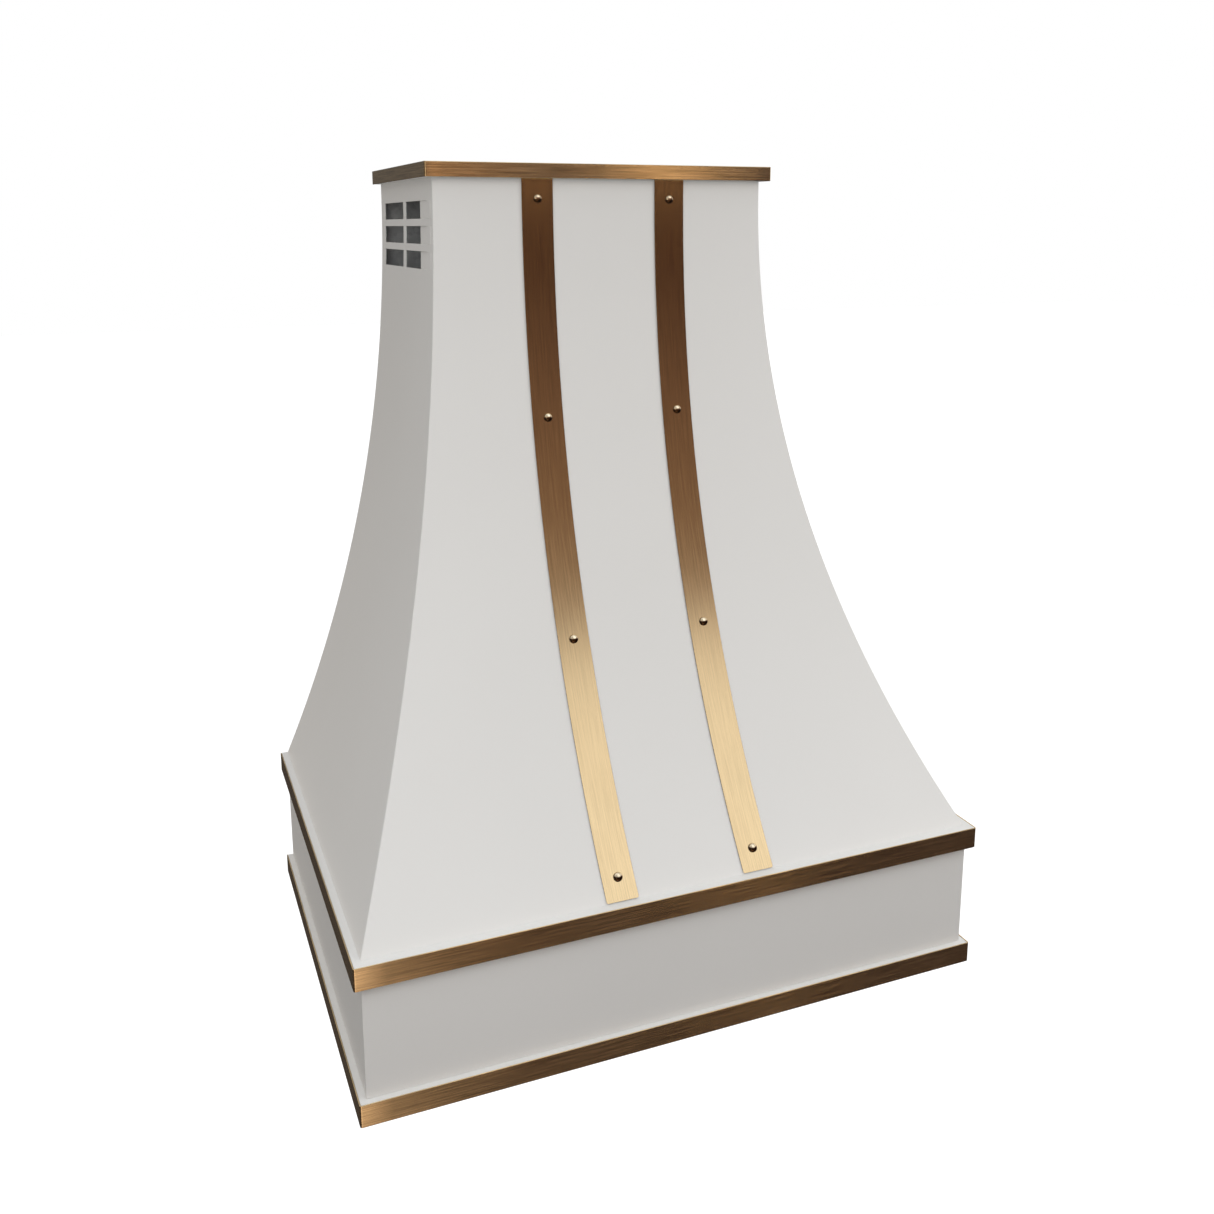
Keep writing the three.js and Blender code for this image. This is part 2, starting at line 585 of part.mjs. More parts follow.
function blowerHousing() {
  const sides = [SCROLL.front, SCROLL.back];
  const shell = alongY(scrollOutline(0, OUTLET_Z), ...sides);
  const hollow = alongY(scrollOutline(THIN, OUTLET_Z + DEEP), ...grow(sides, -THIN));
  const feet = railXs.flatMap((x) => [SCROLL.front, SCROLL.back - THIN].map((y) =>
    box(around(x, RAIL.halfX), [y, y + THIN], [RAIL.topZ + GAP, SCROLL.z - SCROLL_START_R])));
  const inlets = cylinder('y', scrollCentre, SCROLL.inletR, ...grow(sides, PAST), ROUND_SIDES);
  return cut(union(shell, outletFlange(OUTLET_Z - THIN), ...feet), hollow, inlets);
}

function impeller() {
  const { r, y, ring, ringDepth, discHalf, hubR, hubY } = IMPELLER;
  const disc = cylinder('y', scrollCentre, r - BLADE.endGap, ...around(DUCT_Y, discHalf));
  const rings = [[y[0], y[0] + ringDepth], [y[1] - ringDepth, y[1]]].map((span) =>
    cut(cylinder('y', scrollCentre, r, ...span), cylinder('y', scrollCentre, r - ring, ...grow(span, PAST))));
  const hub = cylinder('y', scrollCentre, hubR, ...hubY, PIN_SIDES);
  const blades = [];
  for (let i = 0; i < BLADE.count; i += 1) {
    const blade = new THREE.BoxGeometry(BLADE.chord, y[1] - y[0] - 2 * BLADE.endGap, BLADE.thickness);
    blade.rotateY(BLADE.pitch);
    blade.translate(r - BLADE.inset, DUCT_Y, 0);
    blade.rotateY(2 * Math.PI * i / BLADE.count);
    blade.translate(SCROLL.x, 0, SCROLL.z);
    blades.push(toSolid(blade));
  }
  const bore = cylinder('y', scrollCentre, SHAFT_R + GAP, ...grow(hubY, DEEP), PIN_SIDES);
  return cut(union(disc, ...rings, hub, ...blades), bore);
}

function motor() {
  return union(
    cylinder('y', scrollCentre, MOTOR.r, ...MOTOR.y, ROUND_SIDES),
    cylinder('y', scrollCentre, MOTOR.bossR, MOTOR.bossFrom, MOTOR.y[0] + PAST),
    cylinder('y', scrollCentre, SHAFT_R, MOTOR.shaftFrom, MOTOR.bossFrom + PAST, PIN_SIDES));
}

// A collar round the motor with three arms that reach the rim of the scroll's inlet.
function motorBracket() {
  const y = [SCROLL.back + GAP, SCROLL.back + GAP + BRACKET.plate];
  const arms = BRACKET.angles.map((degrees) => {
    const arm = new THREE.BoxGeometry(BRACKET.armLength, BRACKET.plate, BRACKET.armWidth);
    arm.translate(BRACKET.armFrom + BRACKET.armLength / 2, middleOf(y), 0);
    arm.rotateY(radians(degrees));
    arm.translate(SCROLL.x, 0, SCROLL.z);
    return toSolid(arm);
  });
  return cut(union(cylinder('y', scrollCentre, BRACKET.r, ...y, ROUND_SIDES), ...arms),
    cylinder('y', scrollCentre, MOTOR.r + GAP, ...grow(y, PAST), ROUND_SIDES));
}

// A round cassette of charcoal granules, recessed inside its rim on the outer face.
function charcoalFilter(from, outward) {
  const { r, depth, rim, recess } = CASSETTE;
  const body = turned([[0, 0], [r, 0], [r, depth], [r - rim, depth], [r - rim, depth - recess],
    [0, depth - recess]]);
  return body.rotate([outward > 0 ? -90 : 90, 0, 0]).translate([SCROLL.x, from, SCROLL.z]);
}

addPart('blower_housing', blowerHousing(), galvanised());
addPart('impeller', impeller(), galvanised());
addPart('motor', motor(), darkPlastic());
addPart('motor_bracket', motorBracket(), galvanised());
addPart('charcoal_filter_front', charcoalFilter(SCROLL.front - GAP, -1), darkPlastic());
addPart('charcoal_filter_rear', charcoalFilter(CASSETTE.rearY, 1), darkPlastic());

// Two bent strips that bridge the filters and carry the blower.
function supportRail(x) {
  const [low, high] = [LINER_TOP_Z + GAP, RAIL.topZ];
  const [near, far] = grow([LINER_FRONT, LINER_BACK], -RAIL.inset);
  const { foot, plate } = RAIL;
  return alongX([
    [near, low], [near + foot, low], [near + foot, high - plate], [far - foot, high - plate],
    [far - foot, low], [far, low], [far, low + plate], [far - foot + plate, low + plate],
    [far - foot + plate, high], [near + foot - plate, high], [near + foot - plate, low + plate],
    [near, low + plate],
  ], ...around(x, RAIL.halfX));
}
addPart('support_rail_left', supportRail(railXs[0]), galvanised());
addPart('support_rail_right', supportRail(railXs[1]), galvanised());

// ---------- duct, damper and diverter ----------
const ductCentre = [0, DUCT_Y];
const ductTube = (radius, from, to) => cylinder('z', ductCentre, radius, from, to, ROUND_SIDES);
const onPin = (radius, from, to) => cylinder('y', [0, DAMPER.z], radius, from, to, PIN_SIDES);

function ductCollar() {
  const foot = OUTLET_Z + GAP;
  return cut(union(outletFlange(foot), ductTube(DUCT_R, foot, COLLAR_TOP_Z)),
    ductTube(DUCT_R - THIN, foot - PAST, COLLAR_TOP_Z + PAST),
    onPin(DAMPER.pinR + GAP, ...around(DUCT_Y, DUCT_R + DEEP)));
}

function damperPin() {
  const [near, far] = around(DUCT_Y, DUCT_R + GAP);
  return union(
    onPin(DAMPER.pinR, near - PAST, far + PAST),
    onPin(DAMPER.headR, near - DAMPER.head, near),
    onPin(DAMPER.headR, far, far + DAMPER.head));
}

// A half disc with two knuckles that turn on the damper pin.
function damperFlap(side) {
  const { edge, pinR, halfSheet, length } = DAMPER;
  const sheet = around(DAMPER.z, halfSheet);
  const outward = (near, far) => (side < 0 ? [-far, -near] : [near, far]);
  const half = ductTube(DUCT_R - THIN - DAMPER.rimGap, ...sheet).intersect(
    box(outward(edge, DUCT_R), around(DUCT_Y, DUCT_R), grow(sheet, PAST)));
  const knuckles = KNUCKLE_OFFSETS.map((offset) => {
    const from = DUCT_Y + offset + (side < 0 ? 0 : KNUCKLE_STEP);
    const arm = box(outward(pinR + halfSheet, edge + 2 * PAST), [from, from + length], sheet);
    return union(onPin(pinR + GAP + PAST, from, from + length), arm);
  });
  return cut(union(half, ...knuckles), onPin(pinR + GAP, ...around(DUCT_Y, DUCT_R)));
}

function ductRiser() {
  return cut(ductTube(DUCT_R + GAP + THIN, ...RISER_Z), ductTube(DUCT_R + GAP, ...grow(RISER_Z, PAST)));
}

// A tee: air rises through the spigot, meets a wedge and leaves at both ends towards the side vents.
function airDiverter() {
  const { halfX, y, z, spigotZ, wedgeHalfX, wedgeDrop } = DIVERTER;
  const duct = cut(box(around(0, halfX), y, z),
    box(around(0, halfX + PAST), grow(y, -THIN), grow(z, -THIN)));
  const roof = z[1] - THIN / 2;
  const wedge = alongY([[-wedgeHalfX, roof], [wedgeHalfX, roof], [0, z[1] - wedgeDrop]],
    ...grow(y, -THIN / 2));
  return cut(union(duct, ductTube(DUCT_R, spigotZ, z[0] + THIN / 2), wedge),
    ductTube(DUCT_R - THIN, spigotZ - PAST, z[0] + THIN + PAST));
}

addPart('duct_collar', ductCollar(), galvanised());
addPart('damper_pin', damperPin(), stainless());
addPart('damper_flap_left', damperFlap(-1), galvanised());
addPart('damper_flap_right', damperFlap(1), galvanised());
addPart('duct_riser', ductRiser(), galvanised());
addPart('air_diverter', airDiverter(), galvanised());

// ---------- hanging bar and wiring box ----------
// A keyhole is a round mouth for a screw's head with a slot for its shank above.
function hangingBar() {
  const back = WALL - SHEET - GAP;
  const x = around(0, BAR.halfX);
  const web = box(x, [back - BAR.plate, back], BAR.z);
  const lips = [[BAR.z[0], BAR.z[0] + BAR.plate], [BAR.z[1] - BAR.plate, BAR.z[1]]].map((span) =>
    box(x, [back - BAR.lip, back], span));
  const mouthZ = KEYHOLE.z - KEYHOLE.headDrop;
  const keyholes = [-KEYHOLE.x, KEYHOLE.x].flatMap((centre) => [
    cylinder('y', [centre, mouthZ], KEYHOLE.headR, ...around(back, DEEP), 20),
    box(around(centre, KEYHOLE.slotHalfX), around(back, DEEP), [mouthZ, KEYHOLE.z + KEYHOLE.slotRise]),
  ]);
  return cut(union(web, ...lips), ...keyholes);
}

const wiringX = middleOf(WIRING.x);

function wiringBox() {
  const { x, y, z } = WIRING;
  const hollow = box(grow(x, -THIN), [y[0] - PAST, y[1] - THIN], grow(z, -THIN));
  return cut(box(x, y, z), hollow,
    cylinder('z', [wiringX, WIRING.glandY], WIRING.knockoutR, ...around(z[1], DEEP), 20));
}

function wiringLid() {
  const { x, y, z } = WIRING;
  return box(x, [y[0] - GAP - THIN, y[0] - GAP], z);
}

// A threaded shank through the box's roof, a nut on it and a tapered neck for the cable.
function cableGland() {
  const bore = 4.5;
  const shankR = 7.5;
  const nut = { r: 12, height: 6, bevel: 2 };
  const neck = { r: 8, height: 16 };
  const top = WIRING.z[1];
  return turned([[bore, top - nut.height], [shankR, top - nut.height], [shankR, top + GAP],
    [nut.r, top + GAP], [nut.r, top + nut.height], [nut.r - nut.bevel, top + nut.height + nut.bevel],
    [neck.r, top + neck.height], [bore, top + neck.height], [bore, top - nut.height]], PIN_SIDES)
    .translate([wiringX, WIRING.glandY, 0]);
}

addPart('hanging_bar', hangingBar(), galvanised());
addPart('wiring_box', wiringBox(), galvanised());
addPart('wiring_lid', wiringLid(), galvanised());
addPart('cable_gland', cableGland(), darkPlastic());

export default model;
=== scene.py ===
# The looks of a wall-mounted range hood: a painted sweep body with brushed brass bands and straps.
# Metres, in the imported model's frame: +Z up, +Y towards the wall, +X to the right.
import json
import math

import bmesh
import bpy
from mathutils import Matrix, Vector


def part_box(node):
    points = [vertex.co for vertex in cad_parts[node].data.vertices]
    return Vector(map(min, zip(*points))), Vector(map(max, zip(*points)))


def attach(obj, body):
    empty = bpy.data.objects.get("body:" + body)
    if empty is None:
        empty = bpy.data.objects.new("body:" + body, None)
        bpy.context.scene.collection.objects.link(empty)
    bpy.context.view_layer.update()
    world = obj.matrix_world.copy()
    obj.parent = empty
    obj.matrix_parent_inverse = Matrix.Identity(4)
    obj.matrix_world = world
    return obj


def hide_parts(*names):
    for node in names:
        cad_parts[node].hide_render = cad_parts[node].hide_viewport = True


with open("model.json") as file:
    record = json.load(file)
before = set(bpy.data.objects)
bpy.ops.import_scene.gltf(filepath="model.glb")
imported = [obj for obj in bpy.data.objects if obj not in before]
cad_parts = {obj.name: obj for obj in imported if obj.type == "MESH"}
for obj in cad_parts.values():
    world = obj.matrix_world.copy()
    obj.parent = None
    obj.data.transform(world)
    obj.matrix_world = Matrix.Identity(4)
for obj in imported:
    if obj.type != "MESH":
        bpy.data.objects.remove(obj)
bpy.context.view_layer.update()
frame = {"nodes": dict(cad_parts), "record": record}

MM = 0.001
SIDES = (("left", -1), ("right", 1))

# ---------- sizes of the visible surface ----------
SHEET = 1.5 * MM                   # painted sheet
SEAM = 0.04 * MM                   # what shows between two closed panels
CORNER_R = 1.3 * MM                # bend where the front panel turns to the side
FLANGE_GAP = 0.3 * MM              # between a side panel and the return behind it
FLANGE_DEPTH = 66 * MM             # the front sheet's returns behind the side panels
EMBOSS = 0.35 * MM                 # how far a pressed outline stands proud
EMBOSS_MARGIN = 4 * MM
STRAP_CORNER_R = 1.8 * MM
STRAP_THICKNESS = 1.2 * MM
STRAP_LIFT = 0.3 * MM              # the gap behind a strap
RIVET_HEAD_R = 5.2 * MM
RIVET_HEAD_H = 3.4 * MM
RIVET_SHANK_R = 2.4 * MM
RIVET_TAIL = 4 * MM                # shank below the panel's outer face
RIVET_LIFT = 1.8 * MM              # from the panel's outer face to the underside of the head
RIVET_UNDERCUT = 0.08 * MM         # where the dome's foot turns in
BAND_WALL = 1.5 * MM
BAND_BEND_R = 2.5 * MM
BUTTON_R = 9 * MM
BUTTON_FLANGE = 1.5 * MM
LAMP_MOUTH_R = 29 * MM
LAMP_CAN_R = 33.4 * MM
LAMP_WALL = 1.2 * MM
LAMP_LIP = 3 * MM
HANDLE_BEND = 8 * MM
SCREW_R = 3.4 * MM
SCREW_SINK = 1.2 * MM              # a back screw's head is let into the sheet by this much
RIM_SCREW_X = 13 * MM              # from the ends of the liner's rim
RIM_SCREW_Y = 8 * MM               # from its front and rear edges
PLATE_SCREW_INSET = 7 * MM
BACK_SCREW_X = 18 * MM             # from the back panel's sides
BACK_SCREW_Z = 20 * MM             # from its lower edge

# ---------- how finely shapes are cut ----------
SWEEP_STEPS = 96
CORNER_STEPS = 6                   # round the front panel's small bends
BEND_STEPS = 8                     # round a band's or a handle's quarter turn
LATHE_SIDES = 48
FINE_SIDES = 64                    # for lathed pieces whose outline is large
RISER_SIDES = 72
TUBE_SIDES = 24
CREASE_ANGLE = 40                  # degrees, for the new meshes
CAD_CREASE_ANGLE = 32              # and for the CAD meshes
STRAP_EDGE = 0.35 * MM             # roundings of the pieces' edges
BAND_EDGE = 1.0 * MM
SHEET_EDGE = 0.25 * MM
WELD = 0.01 * MM
FACING = 0.9                       # a normal with this share along an axis faces along it


# ---------- meshes ----------
def smooth(mesh):
    """Shades a mesh smooth, with creases where faces turn by more than CREASE_ANGLE."""
    mesh.polygons.foreach_set("use_smooth", [True] * len(mesh.polygons))
    mesh.set_sharp_from_angle(angle=math.radians(CREASE_ANGLE))


def make_piece(name, vertices, faces, uvs=None):
    """A mesh object. uvs holds one (u, v) in metres for each corner of each face, in order."""
    mesh = bpy.data.meshes.new(name)
    mesh.from_pydata(vertices, [], faces)
    if uvs:
        layer = mesh.uv_layers.new(name="brushing")
        layer.data.foreach_set("uv", [number for pair in uvs for number in pair])
    smooth(mesh)
    mesh.update()
    piece = bpy.data.objects.new(name, mesh)
    bpy.context.scene.collection.objects.link(piece)
    return piece


def loft(name, rings):
    """A closed skin over rings of points, capped at both ends. u runs along the loft, v round a ring."""
    count = len(rings[0])
    vertices = [point for ring in rings for point in ring]
    along = [0.0]
    for before, after in zip(rings, rings[1:]):
        along.append(along[-1] + (Vector(after[0]) - Vector(before[0])).length)
    around = [0.0]
    for i in range(count):
        around.append(around[-1] + (Vector(rings[0][(i + 1) % count]) - Vector(rings[0][i])).length)
    faces, uvs = [], []
    for row in range(len(rings) - 1):
        for i in range(count):
            j = (i + 1) % count
            low, high = row * count, (row + 1) * count
            faces.append((low + i, low + j, high + j, high + i))
            uvs += [(along[row], around[i]), (along[row], around[i + 1]),
                    (along[row + 1], around[i + 1]), (along[row + 1], around[i])]
    last = (len(rings) - 1) * count
    for cap in (range(count - 1, -1, -1), range(last, last + count)):
        faces.append(tuple(cap))
        uvs += [(0.0, around[i % count]) for i in cap]
    piece = make_piece(name, vertices, faces, uvs)
    fix_normals(piece.data)
    return piece


def fix_normals(mesh):
    """Turns every face of a closed mesh outwards."""
    work = bmesh.new()
    work.from_mesh(mesh)
    bmesh.ops.recalc_face_normals(work, faces=work.faces)
    work.to_mesh(mesh)
    work.free()


def bevel(piece, width, segments=3, angle=35):
    """Rounds the piece's edges, as a pressed or cut edge is."""
    rounding = piece.modifiers.new("edges", "BEVEL")
    rounding.width = width
    rounding.segments = segments
    rounding.limit_method = "ANGLE"
    rounding.angle_limit = math.radians(angle)
    rounding.harden_normals = True
    rounding.miter_outer = "MITER_ARC"


def lathe(name, profile, sides=LATHE_SIDES, hexagons=()):
    """Turns a list of (radius, height) about +Z. Points on the axis close the ends.

    The points numbered in hexagons lie on a hexagon, with the radius at the middle of its flats.
    """
    vertices, faces, uvs = [], [], []
    rings = []
    along = [0.0]
    for before, after in zip(profile, profile[1:]):
        along.append(along[-1] + math.dist(before, after))
    for number, (radius, height) in enumerate(profile):
        if radius == 0:
            rings.append([len(vertices)])
            vertices.append((0, 0, height))
            continue
        rings.append(list(range(len(vertices), len(vertices) + sides)))
        for i in range(sides):
            angle = 2 * math.pi * i / sides
            reach = radius
            if number in hexagons:
                reach /= math.cos(angle % (math.pi / 3) - math.pi / 6)
            vertices.append((reach * math.cos(angle), reach * math.sin(angle), height))
    for row, (near, far) in enumerate(zip(rings, rings[1:])):
        rim = 2 * math.pi * max(profile[row][0], profile[row + 1][0])
        for i in range(sides):
            j = (i + 1) % sides
            corners = [near[i % len(near)], near[j % len(near)],
                       far[j % len(far)], far[i % len(far)]]
            kept = []
            for place, corner in enumerate(corners):
                if corner in kept:
                    continue
                kept.append(corner)
                step = i if place in (0, 3) else i + 1
                uvs.append((rim * step / sides, along[row] if place < 2 else along[row + 1]))
            faces.append(tuple(kept))
    piece = make_piece(name, vertices, faces, uvs)
    fix_normals(piece.data)
    return piece


def facing(place, direction):
    """Moves what was turned about +Z to place, with its +Z along direction."""
    return Matrix.Translation(place) @ Vector(direction).to_track_quat("Z", "Y").to_matrix().to_4x4()


def over(node):
    """Moves what was turned about the Z axis over to a node's own upright axis."""
    centre = middle_of(node)
    return Matrix.Translation((centre.x, centre.y, 0))


def tube(name, stations):
    """A round bar through stations (point, radius) that lie in one XZ plane."""
    angles = [2 * math.pi * i / TUBE_SIDES for i in range(TUBE_SIDES)]
    across = Vector((0, 1, 0))
    rings = []
    for number, (point, radius) in enumerate(stations):
        before = stations[max(0, number - 1)][0]
        after = stations[min(len(stations) - 1, number + 1)][0]
        ahead = (Vector(after) - Vector(before)).normalized()
        up = ahead.cross(across)
        spokes = [math.cos(angle) * across + math.sin(angle) * up for angle in angles]
        rings.append([tuple(Vector(point) + radius * spoke) for spoke in spokes])
    return loft(name, rings)


def finish_piece(piece, material, slot, body, *nodes):
    """Gives a new piece its material and its body, and hides the CAD nodes that it stands for. The slot
    argument is not used.
    """
    piece.data.materials.clear()
    piece.data.materials.append(MATERIALS[material])
    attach(piece, body)
    if nodes:
        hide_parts(*nodes)


def stand_in(piece, material, node):
    """Finishes a piece that replaces one CAD node, with that node's body, and hides the node."""
    finish_piece(piece, material, SLOT_OF[node], BODY_OF[node], node)


# ---------- the sweep, read from the frame ----------
def levels(node):
    """The distinct heights of a node's corners, lowest first."""
    return sorted({round(corner.co.z, 5) for corner in frame["nodes"][node].data.vertices})


def extent_at(node, height):
    """Lowest and highest corners of a node among its points at one height."""
    points = [v.co for v in frame["nodes"][node].data.vertices if abs(v.co.z - height) < MM / 10]
    return [[pick(point[axis] for point in points) for axis in range(3)] for pick in (min, max)]


def middle_of(node):
    """The middle of a node's box."""
    low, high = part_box(node)
    return (low + high) / 2


PANEL_LEVELS = levels("front_panel")
PANEL_LOW = PANEL_LEVELS[0]
PANEL_TOP = PANEL_LEVELS[-1]
SWEEP_TOP = PANEL_LEVELS[-2]
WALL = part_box("back_panel")[1].y
NECK = extent_at("front_panel", PANEL_TOP)
FOOT = extent_at("front_panel", PANEL_LOW)


def sweep_radius(neck, foot):
    """The radius of an arc that is upright at SWEEP_TOP and has moved from neck to foot at PANEL_LOW."""
    drop, reach = SWEEP_TOP - PANEL_LOW, abs(foot - neck)
    return (drop * drop + reach * reach) / (2 * reach)


def flank(height, neck, foot):
    """Where that arc is at one height."""
    radius = sweep_radius(neck, foot)
    fall = min(max(0.0, SWEEP_TOP - height), SWEEP_TOP - PANEL_LOW)
    return neck + math.copysign(radius - math.sqrt(radius * radius - fall * fall), foot - neck)


def half_width(height):
    """From the middle to a side panel's outer face."""
    return flank(height, NECK[1][0], FOOT[1][0])


def front_y(height):
    """The front panel's outer face."""
    return flank(height, NECK[0][1], FOOT[0][1])


def sweep_heights(low, high):
    """Even steps of height, both ends included."""
    return [low + (high - low) * i / SWEEP_STEPS for i in range(SWEEP_STEPS + 1)]


LEDGE_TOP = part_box("mid_ledge_frame")[1].z
# The sine of the front panel's tilt at its foot, where it leans most.
STEEPEST = (SWEEP_TOP - PANEL_LOW) / sweep_radius(NECK[0][1], FOOT[0][1])


def arc_points(centre, radius, start, end, steps):
    """Points on an arc in the XY plane, angles in degrees."""
    angles = [math.radians(start + (end - start) * i / steps) for i in range(steps + 1)]
    return [(centre[0] + radius * math.cos(angle), centre[1] + radius * math.sin(angle))
            for angle in angles]


# ---------- materials ----------
class Nodes:
    """A short way to write a node tree: each call adds a node and returns its output socket."""

    def __init__(self, owner):
        owner.use_nodes = True
        self.tree = owner.node_tree
        self.tree.nodes.clear()

    def link(self, value, socket):
        """Joins an output to an input socket, or sets the socket to a plain value."""
        if isinstance(value, bpy.types.NodeSocket):
            self.tree.links.new(value, socket)
        else:
            socket.default_value = value

    def add(self, kind, settings=None, out=0, **inputs):
        """Inputs are given by name, with _ for a space, or by number as i0, i1 and so on."""
        node = self.tree.nodes.new(kind)
        for key, value in (settings or {}).items():
            setattr(node, key, value)
        for key, value in inputs.items():
            by_number = key[0] == "i" and key[1:].isdigit()
            self.link(value, node.inputs[int(key[1:]) if by_number else key.replace("_", " ")])
        return node.outputs[out]

    def surface(self, **inputs):
        """Ends a material with a Principled shader."""
        shader = self.tree.nodes.new("ShaderNodeBsdfPrincipled")
        for key, value in inputs.items():
            self.link(value, shader.inputs[key.replace("_", " ")])
        self.end("ShaderNodeOutputMaterial", shader.outputs[0])

    def end(self, kind, shader):
        self.link(shader, self.tree.nodes.new(kind).inputs["Surface"])

    def place(self):
        return self.add("ShaderNodeTexCoord", out="Object")

    def uv(self):
        return self.add("ShaderNodeUVMap", {"uv_map": "brushing"})

    def part(self, vector, axis):
        return self.add("ShaderNodeSeparateXYZ", out=axis, Vector=vector)

    def stretched(self, source, scale):
        return self.add("ShaderNodeMapping", Vector=source, Scale=scale)

    def noise(self, vector, scale, detail=2.0, roughness=0.5):
        return self.add("ShaderNodeTexNoise", out="Fac", Vector=vector, Scale=scale, Detail=detail,
                        Roughness=roughness)

    def range(self, value, from_low, from_high, to_low, to_high):
        return self.add("ShaderNodeMapRange", Value=value, From_Min=from_low, From_Max=from_high,
                        To_Min=to_low, To_Max=to_high)

    def smooth_step(self, value, start, end):
        return self.add("ShaderNodeMapRange", {"interpolation_type": "SMOOTHSTEP"}, Value=value,
                        From_Min=start, From_Max=end)

    def mix(self, factor, first, second, blend="MIX"):
        return self.add("ShaderNodeMix", {"data_type": "RGBA", "blend_type": blend}, out=2,
                        i0=factor, i6=first, i7=second)

    def math(self, operation, first, second=0.0):
        return self.add("ShaderNodeMath", {"operation": operation}, i0=first, i1=second)

    def dot(self, first, second):
        return self.add("ShaderNodeVectorMath", {"operation": "DOT_PRODUCT"}, out=1,
                        i0=first, i1=second)

    def bump(self, height, strength, distance, normal=None):
        inputs = {"Height": height, "Strength": strength, "Distance": distance}
        if normal is not None:
            inputs["Normal"] = normal
        return self.add("ShaderNodeBump", **inputs)


def colour(red, green, blue):
    return (red, green, blue, 1.0)


def paint_material():
    """Off-white powder coat: faint orange peel, fine speckle, and slight toning over large areas."""
    material = bpy.data.materials.new("powder_coat")
    n = Nodes(material)
    where = n.place()
    toning = n.noise(where, 3.0, 3.0)
    speckle = n.noise(where, 1400.0, 2.0)
    base = n.mix(n.range(toning, 0.3, 0.7, 0.0, 1.0),
                 colour(0.770, 0.757, 0.738), colour(0.790, 0.777, 0.758))
    base = n.mix(n.range(speckle, 0.62, 0.72, 0.0, 0.25), base, colour(0.69, 0.67, 0.64))
    peel = n.noise(where, 420.0, 2.0)
    n.surface(Base_Color=base, Roughness=n.range(peel, 0.3, 0.7, 0.44, 0.54),
              Normal=n.bump(peel, 0.10, 0.00025))
    return material


BRASS_TONE = (0.78, 0.594, 0.346)


def brass_material(name, roughness, stretch, contrast):
    """Brass brushed along its length: fine hair lines, soft mottling and a light tarnish."""
    material = bpy.data.materials.new(name)
    n = Nodes(material)
    uv = n.uv()
    hair = n.noise(n.stretched(uv, (9.0, 5200.0, 1.0)), 1.0, 3.0, 0.6)
    lines = n.noise(n.stretched(uv, (14.0, 640.0, 1.0)), 1.0, 3.0, 0.6)
    mottle = n.noise(n.stretched(uv, (60.0, 260.0, 1.0)), 1.0, 3.0, 0.55)
    streak = n.math("ADD", n.math("MULTIPLY", hair, 0.28), n.math("MULTIPLY", lines, 0.62))
    streak = n.math("ADD", streak, n.math("MULTIPLY", mottle, 0.10))
    darker, lighter = ([tone * (1 + sign * contrast) for tone in BRASS_TONE] for sign in (-1, 1))
    base = n.mix(n.range(streak, 0.40, 0.60, 0.0, 1.0), colour(*darker), colour(*lighter))
    tarnish = n.noise(n.place(), 7.0, 3.0)
    base = n.mix(n.range(tarnish, 0.45, 0.75, 0.0, 0.20), base, colour(0.70, 0.49, 0.27))
    n.surface(Base_Color=base, Metallic=1.0,
              Roughness=n.range(streak, 0.40, 0.60, *roughness),
              Anisotropic=stretch, Anisotropic_Rotation=0.25,
              Tangent=n.add("ShaderNodeTangent", {"direction_type": "UV_MAP", "uv_map": "brushing"}),
              Normal=n.bump(lines, 0.012, 0.00004, n.bump(hair, 0.012, 0.00002)))
    return material


def rivet_material():
    """Polished brass, with painted shade where the dome meets the strap and a painted dark reflection on
    its lower half.
    """
    material = bpy.data.materials.new("polished_brass")
    n = Nodes(material)
    where = n.place()
    rim = RIVET_TAIL + RIVET_LIFT + RIVET_HEAD_R - RIVET_UNDERCUT
    # Painted shade: the dome darkens from its foot a little way up, for the dark ring round each rivet.
    painted_foot_shade = n.range(n.part(n.uv(), "Y"), rim, rim + 0.45 * RIVET_HEAD_R, 1.0, 0.0)
    strap_tilt = n.range(n.part(where, "Z"), PANEL_LOW, SWEEP_TOP, STEEPEST, 0.0)
    # Painted dark reflection: faces that turn down past the strap's own tilt are darkened, for the dark
    # room that the lower half reflects.
    facing_up = n.part(n.add("ShaderNodeNewGeometry", out="Normal"), "Z")
    painted_dark_reflection = n.range(n.math("SUBTRACT", facing_up, strap_tilt), -0.12, 0.06, 1.0, 0.0)
    painted_shade_and_reflection = n.math("MAXIMUM", painted_foot_shade, painted_dark_reflection)
    cloud = n.noise(where, 260.0, 3.0)
    base = n.mix(n.range(cloud, 0.35, 0.7, 0.0, 1.0),
                 colour(0.98, 0.84, 0.62), colour(0.92, 0.74, 0.50))
    base = n.mix(painted_shade_and_reflection, base, colour(0.075, 0.040, 0.020))
    n.surface(Base_Color=base, Metallic=1.0,
              Roughness=n.range(cloud, 0.3, 0.7, 0.03, 0.07),
              Normal=n.bump(n.noise(where, 1500.0, 2.0), 0.03, 0.00003))
    return material


def cut_edge_material():
    """The cut edge of a brass strip, darkened with painted shade for the thin dark outline round the
    strap, with the shear's fine upright marks.
    """
    material = bpy.data.materials.new("painted_shade_cut_edge")
    n = Nodes(material)
    marks = n.noise(n.stretched(n.place(), (300.0, 300.0, 900.0)), 1.0, 3.0)
    base = n.mix(marks, colour(0.10, 0.062, 0.036), colour(0.20, 0.13, 0.075))
    n.surface(Base_Color=base, Metallic=1.0, Roughness=n.range(marks, 0.3, 0.7, 0.38, 0.5),
              Normal=n.bump(marks, 0.1, 0.0001))
    return material


